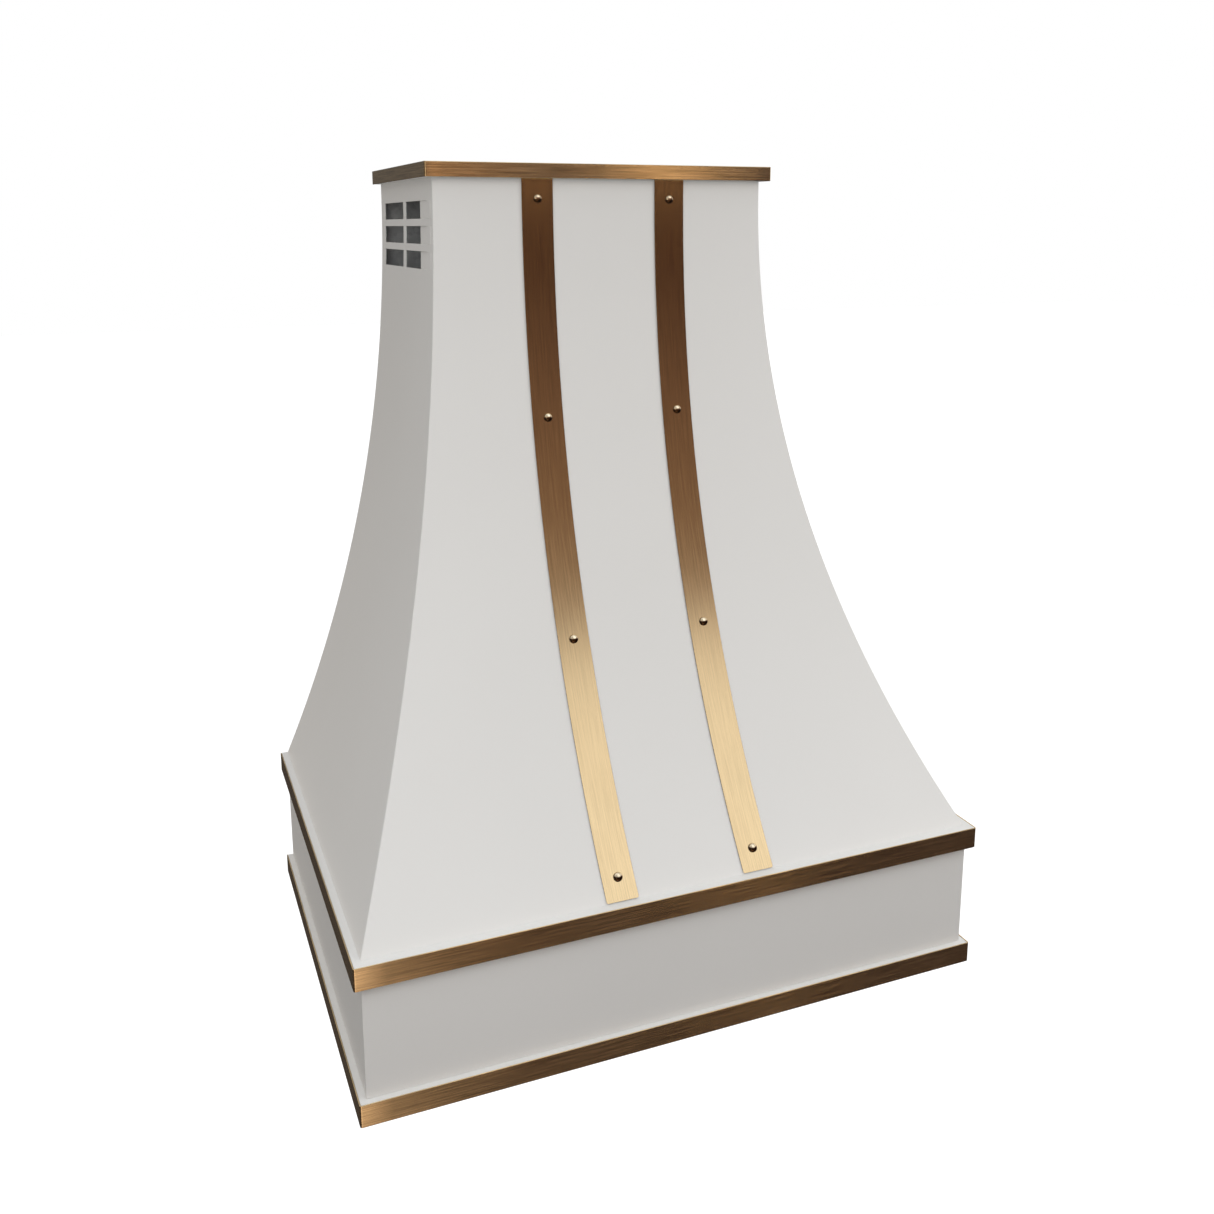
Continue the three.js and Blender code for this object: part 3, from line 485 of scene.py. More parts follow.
def galvanised_material():
    """Zinc-coated steel with its frost-like spangle, fine scratches and dull stains."""
    material = bpy.data.materials.new("galvanised_steel")
    n = Nodes(material)
    where = n.place()
    warp = n.add("ShaderNodeTexNoise", out="Color", Vector=where, Scale=90.0, Detail=2.0)
    moved = n.add("ShaderNodeVectorMath", {"operation": "MULTIPLY_ADD"},
                  i0=warp, i1=(0.005, 0.005, 0.005), i2=where)
    grain = n.add("ShaderNodeTexVoronoi", out="Color", Vector=moved, Scale=170.0)
    tone = n.add("ShaderNodeSeparateColor", Color=grain)
    base = n.mix(tone, colour(0.56, 0.58, 0.60), colour(0.68, 0.70, 0.72))
    stain = n.noise(where, 9.0, 4.0)
    base = n.mix(n.range(stain, 0.5, 0.8, 0.0, 0.35), base, colour(0.48, 0.48, 0.47))
    scratch = n.noise(n.stretched(where, (900.0, 900.0, 40.0)), 1.0, 3.0)
    n.surface(Base_Color=base, Metallic=0.6, Roughness=n.range(tone, 0.0, 1.0, 0.38, 0.52),
              Normal=n.bump(scratch, 0.05, 0.0001, n.bump(tone, 0.05, 0.0002)))
    return material


def stainless_material(name, turned=False):
    """Stainless steel brushed along X, or with turning marks round a lathed piece, and soft wear."""
    material = bpy.data.materials.new(name)
    n = Nodes(material)
    where = n.place()
    lines = n.noise(n.stretched(n.uv(), (20.0, 4000.0, 1.0)) if turned
                    else n.stretched(where, (9.0, 2200.0, 2200.0)), 1.0, 3.0, 0.5)
    smudge = n.noise(where, 14.0, 3.0)
    base = n.mix(n.range(lines, 0.35, 0.65, 0.0, 1.0),
                 colour(0.59, 0.60, 0.61), colour(0.70, 0.71, 0.72))
    roughness = n.math("ADD", n.range(lines, 0.3, 0.7, 0.26, 0.34),
                       n.range(smudge, 0.4, 0.8, 0.0, 0.10))
    n.surface(Base_Color=base, Metallic=0.7, Roughness=roughness, Normal=n.bump(lines, 0.04, 0.00005))
    return material


def plastic_material(name, low, high, roughness):
    """Moulded plastic or enamel with a fine grain. Dust takes its colour from low to high."""
    material = bpy.data.materials.new(name)
    n = Nodes(material)
    where = n.place()
    grain = n.noise(where, 900.0, 3.0)
    dust = n.noise(where, 25.0, 4.0)
    base = n.mix(n.range(dust, 0.4, 0.75, 0.0, 1.0), colour(*low), colour(*high))
    n.surface(Base_Color=base, Roughness=n.range(grain, 0.3, 0.7, roughness - 0.06, roughness + 0.06),
              Normal=n.bump(grain, 0.15, 0.0002))
    return material


def lens_material():
    """Frosted glass with an even, slightly warm body."""
    material = bpy.data.materials.new("frosted_lens")
    n = Nodes(material)
    where = n.place()
    frost = n.noise(where, 700.0, 2.0)
    cloud = n.noise(where, 30.0, 2.0)
    base = n.mix(cloud, colour(0.86, 0.85, 0.80), colour(0.93, 0.92, 0.88))
    n.surface(Base_Color=base, Roughness=n.range(frost, 0.3, 0.7, 0.22, 0.36), Coat_Weight=0.3,
              Normal=n.bump(frost, 0.12, 0.0002))
    return material


MATERIALS = {
    "paint": paint_material(),
    "strap": brass_material("brushed_strap_brass", (0.20, 0.235), 0.75, 0.11),
    "band": brass_material("brushed_band_brass", (0.20, 0.24), 0.93, 0.26),
    "cut_edge": cut_edge_material(),
    "rivet_brass": rivet_material(),
    "galvanised": galvanised_material(),
    "stainless": stainless_material("brushed_stainless"),
    "turned": stainless_material("turned_stainless", turned=True),
    "dark_plastic": plastic_material("black_plastic", (0.018, 0.018, 0.02), (0.035, 0.035, 0.036), 0.5),
    "motor_case": plastic_material("black_enamel", (0.012, 0.012, 0.014), (0.03, 0.03, 0.032), 0.32),
    "charcoal": plastic_material("charcoal_cassette", (0.02, 0.02, 0.02), (0.04, 0.04, 0.038), 0.62),
    "lens": lens_material(),
}
SLOT_OF = {part["node"]: part["material_slot"] for part in frame["record"]["subparts"]}
BODY_OF = {node: body for body, nodes in frame["record"]["behaviour"]["bodies"].items() for node in nodes}


# ---------- body ----------
def front_panel():
    """The front sheet, bent round both front corners, with a joggled return behind each side panel."""
    tuck = SHEET + FLANGE_GAP
    rings = []
    for z in sweep_heights(LEDGE_TOP + SEAM, PANEL_TOP):
        half, front = half_width(z), front_y(z)
        seam_y = front + 2 * SHEET
        left = [(-half + tuck + SHEET, front + FLANGE_DEPTH), (-half + tuck, front + FLANGE_DEPTH),
                (-half + tuck, seam_y), (-half, seam_y)]
        left += arc_points((-half + CORNER_R, front + CORNER_R), CORNER_R, 180, 270, CORNER_STEPS)
        inner = [(-half + tuck + SHEET, front + SHEET)]
        right = [(-x, y) for x, y in reversed(left)]
        ring = left + right + [(-x, y) for x, y in inner] + inner
        rings.append([(x, y, z) for x, y in ring])
    finish_piece(loft("front_panel_skin", rings), "paint", "paint", "hood",
                 "front_panel", "corner_flange_left", "corner_flange_right")


def vent_cuts(node):
    """The heights and the depths of the cut edges round a side panel's vents, read from the CAD node."""
    mesh = frame["nodes"][node].data
    flat_heights = set()
    upright = []
    for face in mesh.polygons:
        corners = [mesh.vertices[index].co for index in face.vertices]
        if abs(face.normal.z) > FACING:
            flat_heights.add(round(corners[0].z, 5))
        if abs(face.normal.y) > FACING:
            upright.append(corners)
    heights = sorted(flat_heights)[1:-1]
    depths = {round(corners[0].y, 5) for corners in upright
              if {round(corner.z, 5) for corner in corners} <= set(heights)}
    return heights, sorted(depths)


def side_panel(name, side):
    """A side sheet with six vent openings, as a grid that leaves the openings out."""
    node = f"side_panel_{name}"
    cut_heights, cut_depths = vent_cuts(node)
    rows = list(zip(cut_heights[::2], cut_heights[1::2]))
    columns = range(1, len(cut_depths), 2)
    clear = 2 * MM                 # no other row of the grid comes this close to a cut
    heights = [z for z in sweep_heights(LEDGE_TOP + SEAM, PANEL_TOP)
               if min(abs(z - cut) for cut in cut_heights) > clear]
    heights = sorted(heights + cut_heights)
    vertices = []
    count = len(cut_depths) + 2
    for z in heights:
        for y in [front_y(z) + 2 * SHEET + SEAM, *cut_depths, WALL]:
            vertices.append((side * half_width(z), y, z))
    faces = []
    for row in range(len(heights) - 1):
        in_row = any(low <= heights[row] < high for low, high in rows)
        for i in range(count - 1):
            if in_row and i in columns:
                continue
            low, high = row * count + i, (row + 1) * count + i
            faces.append((low, low + 1, high + 1, high))
    piece = make_piece(f"{node}_skin", vertices, faces)
    skin = piece.modifiers.new("sheet", "SOLIDIFY")
    skin.thickness = SHEET
    skin.offset = -1.0 if side > 0 else 1.0
    skin.use_even_offset = True
    bevel(piece, SHEET_EDGE, segments=2, angle=50)
    stand_in(piece, "paint", node)


def pressed_outlines(name, side):
    """The shallow pressed field between each row of vents and the front corner."""
    cut_heights, cut_depths = vent_cuts(f"side_panel_{name}")
    for row, (low, high) in enumerate(zip(cut_heights[::2], cut_heights[1::2]), 1):
        near = front_y(high) + CORNER_R + 2 * EMBOSS_MARGIN
        far = cut_depths[0] - EMBOSS_MARGIN
        rings = []
        for z in (low, high):
            face = side * half_width(z)
            rings.append([(face - side * EMBOSS, near, z), (face + side * EMBOSS, near, z),
                          (face + side * EMBOSS, far, z), (face - side * EMBOSS, far, z)])
        piece = loft(f"pressed_outline_{name}_{row}", rings)
        bevel(piece, EMBOSS / 2, segments=2)
        finish_piece(piece, "paint", "paint", "hood")


# ---------- straps and rivets ----------
def strap(name):
    """A strip that follows the sweep, with rounded lower corners and cut edges darkened with painted
    shade.
    """
    node = f"strap_{name}"
    low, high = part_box(node)
    heights = sweep_heights(low.z + STRAP_CORNER_R, high.z)
    ends = [low.z + STRAP_CORNER_R * (1 - math.cos(math.radians(angle)))
            for angle in range(0, 90, 15)]
    rings = []
    for z in ends + heights:
        fall = max(0.0, low.z + STRAP_CORNER_R - z)
        narrow = STRAP_CORNER_R - math.sqrt(max(0.0, STRAP_CORNER_R ** 2 - fall ** 2))
        x = (low.x + narrow, high.x - narrow)
        back = front_y(z) - STRAP_LIFT
        front = back - STRAP_THICKNESS
        rings.append([(x[0], back, z), (x[0], front, z), (x[1], front, z), (x[1], back, z)])
    piece = loft(f"{node}_strip", rings)
    bevel(piece, STRAP_EDGE)
    stand_in(piece, "strap", node)
    # The side faces and the lower end take the dark cut-edge material: painted shade for the strap's thin
    # dark outline.
    piece.data.materials.append(MATERIALS["cut_edge"])
    for face in piece.data.polygons:
        if abs(face.normal.x) > FACING or face.normal.z < -FACING:
            face.material_index = 1


def rivet(name, row):
    """A round head on a shank, seated square to the strap."""
    node = f"rivet_{name}_{row}"
    centre = middle_of(node)
    steps, start = 12, 0.6         # the dome's first point lies this share of a step above its foot
    profile = [(0, -RIVET_TAIL), (RIVET_SHANK_R, -RIVET_TAIL), (RIVET_SHANK_R, RIVET_LIFT),
               (RIVET_HEAD_R - RIVET_UNDERCUT, RIVET_LIFT)]
    for i in range(steps):
        angle = math.pi / 2 * (i + start) / (steps + start)
        profile.append((RIVET_HEAD_R * math.cos(angle), RIVET_LIFT + RIVET_HEAD_H * math.sin(angle)))
    profile.append((0, RIVET_LIFT + RIVET_HEAD_H))
    piece = lathe(f"{node}_dome", profile)
    slope = math.atan2(front_y(centre.z + MM) - front_y(centre.z - MM), 2 * MM)
    seat = Vector((centre.x, front_y(centre.z), centre.z))
    piece.data.transform(Matrix.Translation(seat) @ Matrix.Rotation(math.pi / 2 - slope, 4, "X"))
    stand_in(piece, "rivet_brass", node)


# ---------- bands ----------
def band_bend(centre, start):
    """A quarter turn of a band's outer face: points, each with the direction of the inner face."""
    points = []
    for i in range(BEND_STEPS + 1):
        angle = math.radians(start + 90 * i / BEND_STEPS)
        out = (math.cos(angle), math.sin(angle))
        points.append(((centre[0] + BAND_BEND_R * out[0], centre[1] + BAND_BEND_R * out[1]),
                       (-out[0], -out[1])))
    return points


def u_band(node):
    """A strip bent round the front corners, brushed along its length."""
    low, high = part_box(node)
    r, runs = BAND_BEND_R, 12
    left, right, front = low.x + r, high.x - r, low.y + r
    path = [((low.x, high.y), (1, 0))]
    for i in range(1, runs):
        path.append(((low.x, high.y + (front - high.y) * i / runs), (1, 0)))
    path += band_bend((left, front), 180)
    wide = high.x - low.x
    for i in range(1, 2 * runs):
        path.append(((low.x + r + (wide - 2 * r) * i / (2 * runs), low.y), (0, 1)))
    path += band_bend((right, front), 270)
    for i in range(1, runs + 1):
        path.append(((high.x, front + (high.y - front) * i / runs), (-1, 0)))
    rings = []
    for (x, y), (dx, dy) in path:
        inner = (x + dx * BAND_WALL, y + dy * BAND_WALL)
        rings.append([(x, y, low.z), (x, y, high.z), (*inner, high.z), (*inner, low.z)])
    piece = loft(f"{node}_strip", rings)
    bevel(piece, BAND_EDGE, angle=60)
    stand_in(piece, "band", node)


# ---------- underside ----------
def push_button(node):
    """A steel push button: a dished face, a rolled rim and the flange that keeps it in its well."""
    low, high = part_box(node)
    face, back, flange_r = low.z, high.z, (high.y - low.y) / 2
    dish_r, dish, roll, steps = 7.2 * MM, 0.7 * MM, 1.2 * MM, 6
    profile = [(dish_r * i / steps, face + dish * (1 - (i / steps) ** 2)) for i in range(steps + 1)]
    for i in range(1, steps + 1):
        angle = math.radians(90 * i / steps)
        profile.append((BUTTON_R - roll * (1 - math.sin(angle)), face + roll * (1 - math.cos(angle))))
    profile += [(BUTTON_R, back - BUTTON_FLANGE), (flange_r, back - BUTTON_FLANGE),
                (flange_r, back), (0, back)]
    piece = lathe(f"{node}_cap", profile)
    piece.data.transform(over(node))
    stand_in(piece, "turned", node)


def lamp(name):
    """A recessed lamp: a spun can with a rolled bezel, and a lens with prismatic rings."""
    can, lens = f"lamp_can_{name}", f"lamp_lens_{name}"
    low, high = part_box(can)
    lens_low, lens_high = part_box(lens)
    lip_r, lens_r = (high.y - low.y) / 2, (lens_high.y - lens_low.y) / 2
    lens_gap, round_r, steps = 0.3 * MM, 1.1 * MM, 5
    plate, seat = low.z + LAMP_LIP, lens_low.z - lens_gap
    quarter = [math.radians(90 * i / steps) for i in range(steps + 1)]
    profile = [(0, high.z - LAMP_WALL), (LAMP_CAN_R - LAMP_WALL, high.z - LAMP_WALL),
               (LAMP_CAN_R - LAMP_WALL, seat), (LAMP_MOUTH_R, seat)]
    profile += [(LAMP_MOUTH_R + round_r * (1 - math.cos(a)), low.z + round_r * (1 - math.sin(a)))
                for a in quarter]
    profile += [(lip_r - round_r + round_r * math.sin(a), low.z + round_r * (1 - math.cos(a)))
                for a in quarter]
    profile += [(lip_r, plate), (LAMP_CAN_R, plate), (LAMP_CAN_R, high.z - round_r),
                (LAMP_CAN_R - round_r, high.z), (0, high.z)]
    shell = lathe(f"{can}_spun", profile, FINE_SIDES)
    shell.data.transform(over(can))
    stand_in(shell, "turned", can)
    rings, groove = 24, 0.25 * MM
    face = [(lens_r * i / rings, lens_low.z + (groove if i % 2 else 0)) for i in range(rings)]
    face += [(lens_r, lens_low.z + groove), (lens_r, lens_high.z), (0, lens_high.z)]
    glass = lathe(f"{lens}_glass", face, FINE_SIDES)
    glass.data.transform(over(lens))
    stand_in(glass, "lens", lens)


def filter_handle(name):
    """A bent wire handle with a small collar where each leg meets the filter."""
    node = f"filter_handle_{name}"
    low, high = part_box(node)
    r = (high.y - low.y) / 2
    y = middle_of(node).y
    collar_r, collar_h = 1.8 * r, 1.2 * MM
    left, right, base = low.x + r, high.x - r, low.z + r
    leg = [(0, collar_r), (0.8 * collar_h, collar_r), (collar_h, 0.93 * collar_r), (collar_h, r)]
    stations = [((left, y, high.z - drop), radius) for drop, radius in leg]
    for end, start in ((left + HANDLE_BEND, 180), (right - HANDLE_BEND, 270)):
        for i in range(BEND_STEPS + 1):
            angle = math.radians(start + 90 * i / BEND_STEPS)
            stations.append(((end + HANDLE_BEND * math.cos(angle), y,
                              base + HANDLE_BEND * (1 + math.sin(angle))), r))
    stations += [((right, y, high.z - drop), radius) for drop, radius in reversed(leg)]
    wire = tube(f"{node}_wire", stations)
    stand_in(wire, "stainless", node)


def screw(name, place, direction):
    """A button-head screw with a hexagon socket; its head stands on place and faces direction."""
    height, shank_r, shank = 1.9 * MM, 0.5 * SCREW_R, MM
    socket_r, socket_depth = 1.5 * MM, 1.2 * MM
    steps, rim_angle, crown_angle = 5, 8, 66
    profile = [(0, -shank), (shank_r, -shank), (shank_r, 0), (SCREW_R, 0)]
    for i in range(steps + 1):
        angle = math.radians(rim_angle + (crown_angle - rim_angle) * i / steps)
        profile.append((SCREW_R * math.cos(angle), height * math.sin(angle)))
    top = profile[-1][1]
    profile += [(socket_r * 1.25, top), (socket_r, top), (socket_r, top - socket_depth),
                (0, top - socket_depth)]
    piece = lathe(name, profile, 24, hexagons=(len(profile) - 3, len(profile) - 2))
    piece.data.transform(facing(place, direction))
    finish_piece(piece, "turned", "stainless", "hood")


def screws_along(name, start, end, count, direction):
    """Evenly spaced screws from start to end."""
    for i in range(count):
        place = Vector(start).lerp(Vector(end), i / (count - 1))
        screw(f"{name}_screw_{i + 1}", place, direction)


def screw_rows():
    """The screws of the liner's rim, the control plate, the wiring box's lid and the back panel."""
    down, front, back = (0, 0, -1), (0, -1, 0), (0, 1, 0)
    low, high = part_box("liner_pan")
    left, right = low.x + RIM_SCREW_X, high.x - RIM_SCREW_X
    for row, y in (("liner_front", low.y + RIM_SCREW_Y), ("liner_rear", high.y - RIM_SCREW_Y)):
        screws_along(row, (left, y, low.z), (right, y, low.z), 5, down)
    inset = PLATE_SCREW_INSET
    low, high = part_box("control_plate")
    for row, x in (("plate_left", low.x + inset), ("plate_right", high.x - inset)):
        screws_along(row, (x, low.y + inset, low.z), (x, high.y - inset, low.z), 2, down)
    low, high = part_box("wiring_lid")
    for row, z in (("lid_low", low.z + inset), ("lid_high", high.z - inset)):
        screws_along(row, (low.x + inset, low.y, z), (high.x - inset, low.y, z), 2, front)
    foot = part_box("back_panel")[0].z + BACK_SCREW_Z
    for row, z in (("back_low", foot), ("back_middle", 0.5 * (PANEL_LOW + PANEL_TOP))):
        half, seat = half_width(z) - BACK_SCREW_X, WALL - SCREW_SINK
        screws_along(row, (-half, seat, z), (half, seat, z), 4, back)


# ---------- inside ----------
def motor():
    """The blower motor: a ribbed case, a boss and the shaft that carries the impeller."""
    low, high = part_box("motor")
    centre = middle_of("motor")
    r = (high.z - low.z) / 2
    boss_r, shaft_r, shaft_edge = 20 * MM, 4 * MM, 0.4 * MM
    boss_at, case_at, edge = 31 * MM, 34 * MM, 3 * MM
    ribs, rib_depth = 9, 1.6 * MM
    length = high.y - low.y
    profile = [(0, 0), (shaft_r - shaft_edge, 0), (shaft_r, shaft_edge), (shaft_r, boss_at),
               (boss_r - MM, boss_at), (boss_r, boss_at + MM), (boss_r, case_at), (r - edge, case_at),
               (r, case_at + edge)]
    pitch = (length - case_at - 4 * edge) / ribs
    for i in range(ribs):
        start = case_at + 2 * edge + i * pitch
        profile += [(r, start), (r - rib_depth, start + 0.15 * pitch),
                    (r - rib_depth, start + 0.55 * pitch), (r, start + 0.7 * pitch)]
    profile += [(r, length - edge), (r - edge, length), (0, length)]
    piece = lathe("motor_case", profile, FINE_SIDES)
    piece.data.transform(facing((centre.x, low.y, centre.z), (0, 1, 0)))
    stand_in(piece, "motor_case", "motor")


def cassette(name, outward):
    """A round charcoal cassette: a rolled rim and a ribbed, ringed grille over the charcoal."""
    node = f"charcoal_filter_{name}"
    low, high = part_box(node)
    centre = middle_of(node)
    r, depth = (high.z - low.z) / 2, high.y - low.y
    rim, recess, roll = 12 * MM, 3 * MM, 1.5 * MM
    rings, ring_width, ring_height = 6, 2.4 * MM, 1.6 * MM
    floor_at = depth - recess
    profile = [(0, 0), (r - roll, 0), (r, roll), (r, depth - roll), (r - roll, depth), (r - rim, depth)]
    for i in range(rings):
        middle = (r - rim) * (1 - (i + 0.7) / rings)
        for reach, rise in ((0.5, 0), (0.35, ring_height), (-0.35, ring_height), (-0.5, 0)):
            profile.append((middle + reach * ring_width, floor_at + rise))
    profile.insert(6, (r - rim, floor_at))
    profile.append((0, floor_at))
    place = facing((centre.x, low.y if outward > 0 else high.y, centre.z), (0, outward, 0))
    drum = lathe(f"{node}_drum", profile, FINE_SIDES)
    drum.data.transform(place)
    stand_in(drum, "charcoal", node)
    spokes, half, hub_r, proud = 16, 0.8 * MM, 8 * MM, 0.3 * MM
    vertices, faces = [], []
    for i in range(spokes):
        angle = 2 * math.pi * i / spokes
        out = Vector((math.cos(angle), math.sin(angle), 0))
        across = Vector((-out.y, out.x, 0)) * half
        first = len(vertices)
        for reach in (hub_r, r - rim):
            for side in (-1, 1):
                for level in (floor_at - half, floor_at + ring_height + proud):
                    vertices.append(tuple(out * reach + across * side + Vector((0, 0, level))))
        faces += [tuple(first + corner for corner in quad) for quad in
                  ((0, 2, 3, 1), (4, 5, 7, 6), (0, 1, 5, 4), (2, 6, 7, 3), (1, 3, 7, 5), (0, 4, 6, 2))]
    grille = make_piece(f"{node}_grille", vertices, faces)
    fix_normals(grille.data)
    grille.data.transform(place)
    finish_piece(grille, "charcoal", SLOT_OF[node], BODY_OF[node])


def duct_riser():
    """The round riser, rolled from sheet with two swaged beads."""
    low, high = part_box("duct_riser")
    r, wall = (high.x - low.x) / 2, 0.8 * MM
    bead_r, steps = 3 * MM, 8
    low_bead, high_bead = low.z + 45 * MM, high.z - 30 * MM
    outer = [(r, low.z)]
    for at in (low_bead, high_bead):
        outer += [(r + 0.5 * bead_r * math.sin(math.pi * i / steps), at + bead_r * (2 * i / steps - 1))
                  for i in range(steps + 1)]
    outer.append((r, high.z))
    inner = [(radius - wall, z) for radius, z in reversed(outer)]
    piece = lathe("duct_riser_tube", outer + inner + outer[:1], RISER_SIDES)
    piece.data.transform(over("duct_riser"))
    stand_in(piece, "galvanised", "duct_riser")


def cable_gland():
    """A cable gland through the wiring box's top: lock nut, body and dome nut."""
    low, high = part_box("cable_gland")
    r = (high.x - low.x) / 2
    flat, thread, hole = 0.86 * r, 7.8 * MM, 4.5 * MM
    dome, shoulder = 0.95 * flat, 0.8 * flat
    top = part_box("wiring_box")[1].z
    wall = 1.2 * MM
    nut_top, neck_top, dome_foot, dome_top = [top + rise * MM for rise in (5, 6, 6.5, 12)]
    profile = [(hole, low.z), (flat, low.z), (flat, top - wall), (thread, top - wall), (thread, top),
               (flat, top), (flat, nut_top), (thread, nut_top), (thread, neck_top),
               (dome, dome_foot), (dome, dome_top), (shoulder, high.z - MM),
               (hole + 2 * MM, high.z), (hole, high.z - 0.5 * MM), (hole, low.z)]
    piece = lathe("cable_gland_body", profile, hexagons=(1, 2, 5, 6))
    piece.data.transform(over("cable_gland"))
    stand_in(piece, "dark_plastic", "cable_gland")


# ---------- CAD pieces that keep their shape ----------
def smooth_edges():
    """Geometry nodes that weld the CAD triangles, shade them smooth and keep real edges sharp."""
    group = bpy.data.node_groups.new("smooth_edges", "GeometryNodeTree")
    group.interface.new_socket("Geometry", in_out="INPUT", socket_type="NodeSocketGeometry")
    group.interface.new_socket("Geometry", in_out="OUTPUT", socket_type="NodeSocketGeometry")
    kinds = ("NodeGroupInput", "GeometryNodeRemoveAttribute", "GeometryNodeMergeByDistance",
             "GeometryNodeSetShadeSmooth", "GeometryNodeSetShadeSmooth", "NodeGroupOutput")
    chain = [group.nodes.new(kind) for kind in kinds]
    for before, after in zip(chain, chain[1:]):
        group.links.new(before.outputs[0], after.inputs[0])
    chain[1].inputs["Name"].default_value = "custom_normal"
    chain[2].inputs["Distance"].default_value = WELD
    chain[4].domain = "EDGE"
    chain[4].inputs["Shade Smooth"].default_value = False
    turn = group.nodes.new("GeometryNodeInputMeshEdgeAngle")
    sharp = group.nodes.new("FunctionNodeCompare")
    sharp.data_type = "FLOAT"
    sharp.operation = "GREATER_THAN"
    sharp.inputs[1].default_value = math.radians(CAD_CREASE_ANGLE)
    group.links.new(turn.outputs["Unsigned Angle"], sharp.inputs[0])
    group.links.new(sharp.outputs[0], chain[4].inputs["Selection"])
    return group


SMOOTH_EDGES = smooth_edges()


def dress(node):
    """Gives a CAD node its material, and smooths and rounds it with modifiers."""
    piece = frame["nodes"][node]
    piece.data.materials.clear()
    piece.data.materials.append(MATERIALS[SLOT_OF[node]])
    piece.modifiers.new("shading", "NODES").node_group = SMOOTH_EDGES
    bevel(piece, SHEET_EDGE, segments=2, angle=40)


# ---------- building ----------
front_panel()
for side_name, side_sign in SIDES:
    side_panel(side_name, side_sign)
    pressed_outlines(side_name, side_sign)
    strap(side_name)
    lamp(side_name)
    filter_handle(side_name)
    for rivet_row in (1, 2, 3, 4):
        rivet(side_name, rivet_row)
for band in ("bottom_band", "mid_band", "crown_band"):
    u_band(band)
for button in ("power", "slow", "fast", "light"):
    push_button(f"button_{button}")
motor()
cassette("front", -1)
cassette("rear", 1)
duct_riser()
cable_gland()

screw_rows()

for node_name, node_object in frame["nodes"].items():
    if not node_object.hide_render:
        dress(node_name)


# ---------- studio ----------
def ramp(n, value, stops):
    """A colour ramp over elevation in degrees; value is the direction's Z."""
    height = n.add("ShaderNodeMath", {"operation": "MULTIPLY_ADD"}, i0=value, i1=0.5, i2=0.5)
    node = n.tree.nodes.new("ShaderNodeValToRGB")
    node.color_ramp.interpolation = "EASE"
    while len(node.color_ramp.elements) < len(stops):
        node.color_ramp.elements.new(0.5)
    for element, (degrees, tint) in zip(node.color_ramp.elements, stops):
        element.position = 0.5 + 0.5 * math.sin(math.radians(degrees))
        element.color = (*tint, 1.0)
    n.link(height, node.inputs[0])
    return node.outputs[0]


def towards(azimuth, elevation):
    """A unit vector: degrees from the front (-Y) towards the right (+X), and above the horizon."""
    flat = math.cos(math.radians(elevation))
    turn = math.radians(azimuth)
    return (math.sin(turn) * flat, -math.cos(turn) * flat, math.sin(math.radians(elevation)))


def soft_box(n, direction, sky, azimuth, elevation, inner, outer, tint):
    """Adds a round light to a sky colour: full inside inner degrees and gone at outer degrees."""
    share = n.smooth_step(n.dot(direction, towards(azimuth, elevation)),
                          math.cos(math.radians(outer)), math.cos(math.radians(inner)))
    return n.mix(share, sky, colour(*tint), "ADD")


def strip_light(n, direction, sky, azimuth, inner, outer, low, high, tint):
    """Adds an upright strip of light to a sky colour, from low to high degrees above the horizon.

    Half its width is between inner and outer degrees.
    """
    side = n.dot(direction, towards(azimuth + 90, 0))
    across = n.smooth_step(n.math("ABSOLUTE", side),
                           math.sin(math.radians(outer)), math.sin(math.radians(inner)))
    ahead = n.dot(direction, towards(azimuth, 0))
    share = n.math("MULTIPLY", across, n.range(ahead, 0.0, 0.2, 0.0, 1.0))
    height = n.dot(direction, (0, 0, 1))
    blur = 2                       # degrees each side of the strip's ends
    for edge, turn in ((low, 1), (high, -1)):
        fade = [math.sin(math.radians(edge + step * turn)) for step in (-blur, blur)]
        inside = n.range(height, *fade, 0.0, 1.0)
        share = n.math("MULTIPLY", share, inside)
    return n.mix(share, sky, colour(*tint), "ADD")


# Colours by degrees above the horizon, in front of the hood and behind it.
FRONT_SKY = (
    (-90, (0.42, 0.41, 0.40)), (-60, (0.075, 0.062, 0.055)),
    (-40, (0.052, 0.037, 0.033)), (-20, (0.047, 0.030, 0.026)),
    (-4, (0.055, 0.029, 0.023)), (6, (0.067, 0.033, 0.024)), (13, (0.165, 0.098, 0.073)),
    (20, (0.235, 0.150, 0.108)), (23, (0.29, 0.205, 0.155)), (28, (0.50, 0.48, 0.455)),
    (60, (0.48, 0.49, 0.50)), (90, (0.83, 0.85, 0.88)),
)
BACK_SKY = (
    (-90, (0.42, 0.41, 0.40)), (-60, (0.12, 0.112, 0.106)), (-40, (0.052, 0.045, 0.042)),
    (-15, (0.052, 0.045, 0.042)), (4, (0.115, 0.108, 0.105)),
    (20, (0.30, 0.30, 0.31)), (35, (0.56, 0.56, 0.54)), (90, (0.83, 0.85, 0.88)),
)
# Azimuth, elevation, inner and outer reach in degrees, tint.
SOFT_BOXES = (
    (-14, -30, 6, 26, (1.30, 1.00, 0.76)),
    (-34, 4, 6, 16, (1.30, 1.20, 1.00)),
    (34, 48.2, 24.6, 25.6, (0.66, 0.70, 0.74)),
    (19, -28, 2, 12, (0.035, 0.025, 0.016)),
    (110, 5, 15, 40, (0.8, 0.8, 0.8)),
)
# Azimuth, inner and outer half width, low and high end in degrees, tint.
STRIP_LIGHTS = (
    (24.9, 0.6, 2.2, -12, -1, (3.4, 2.35, 1.4)),
    (12, 1.0, 7.0, -12, -1, (1.2, 0.74, 0.42)),
)
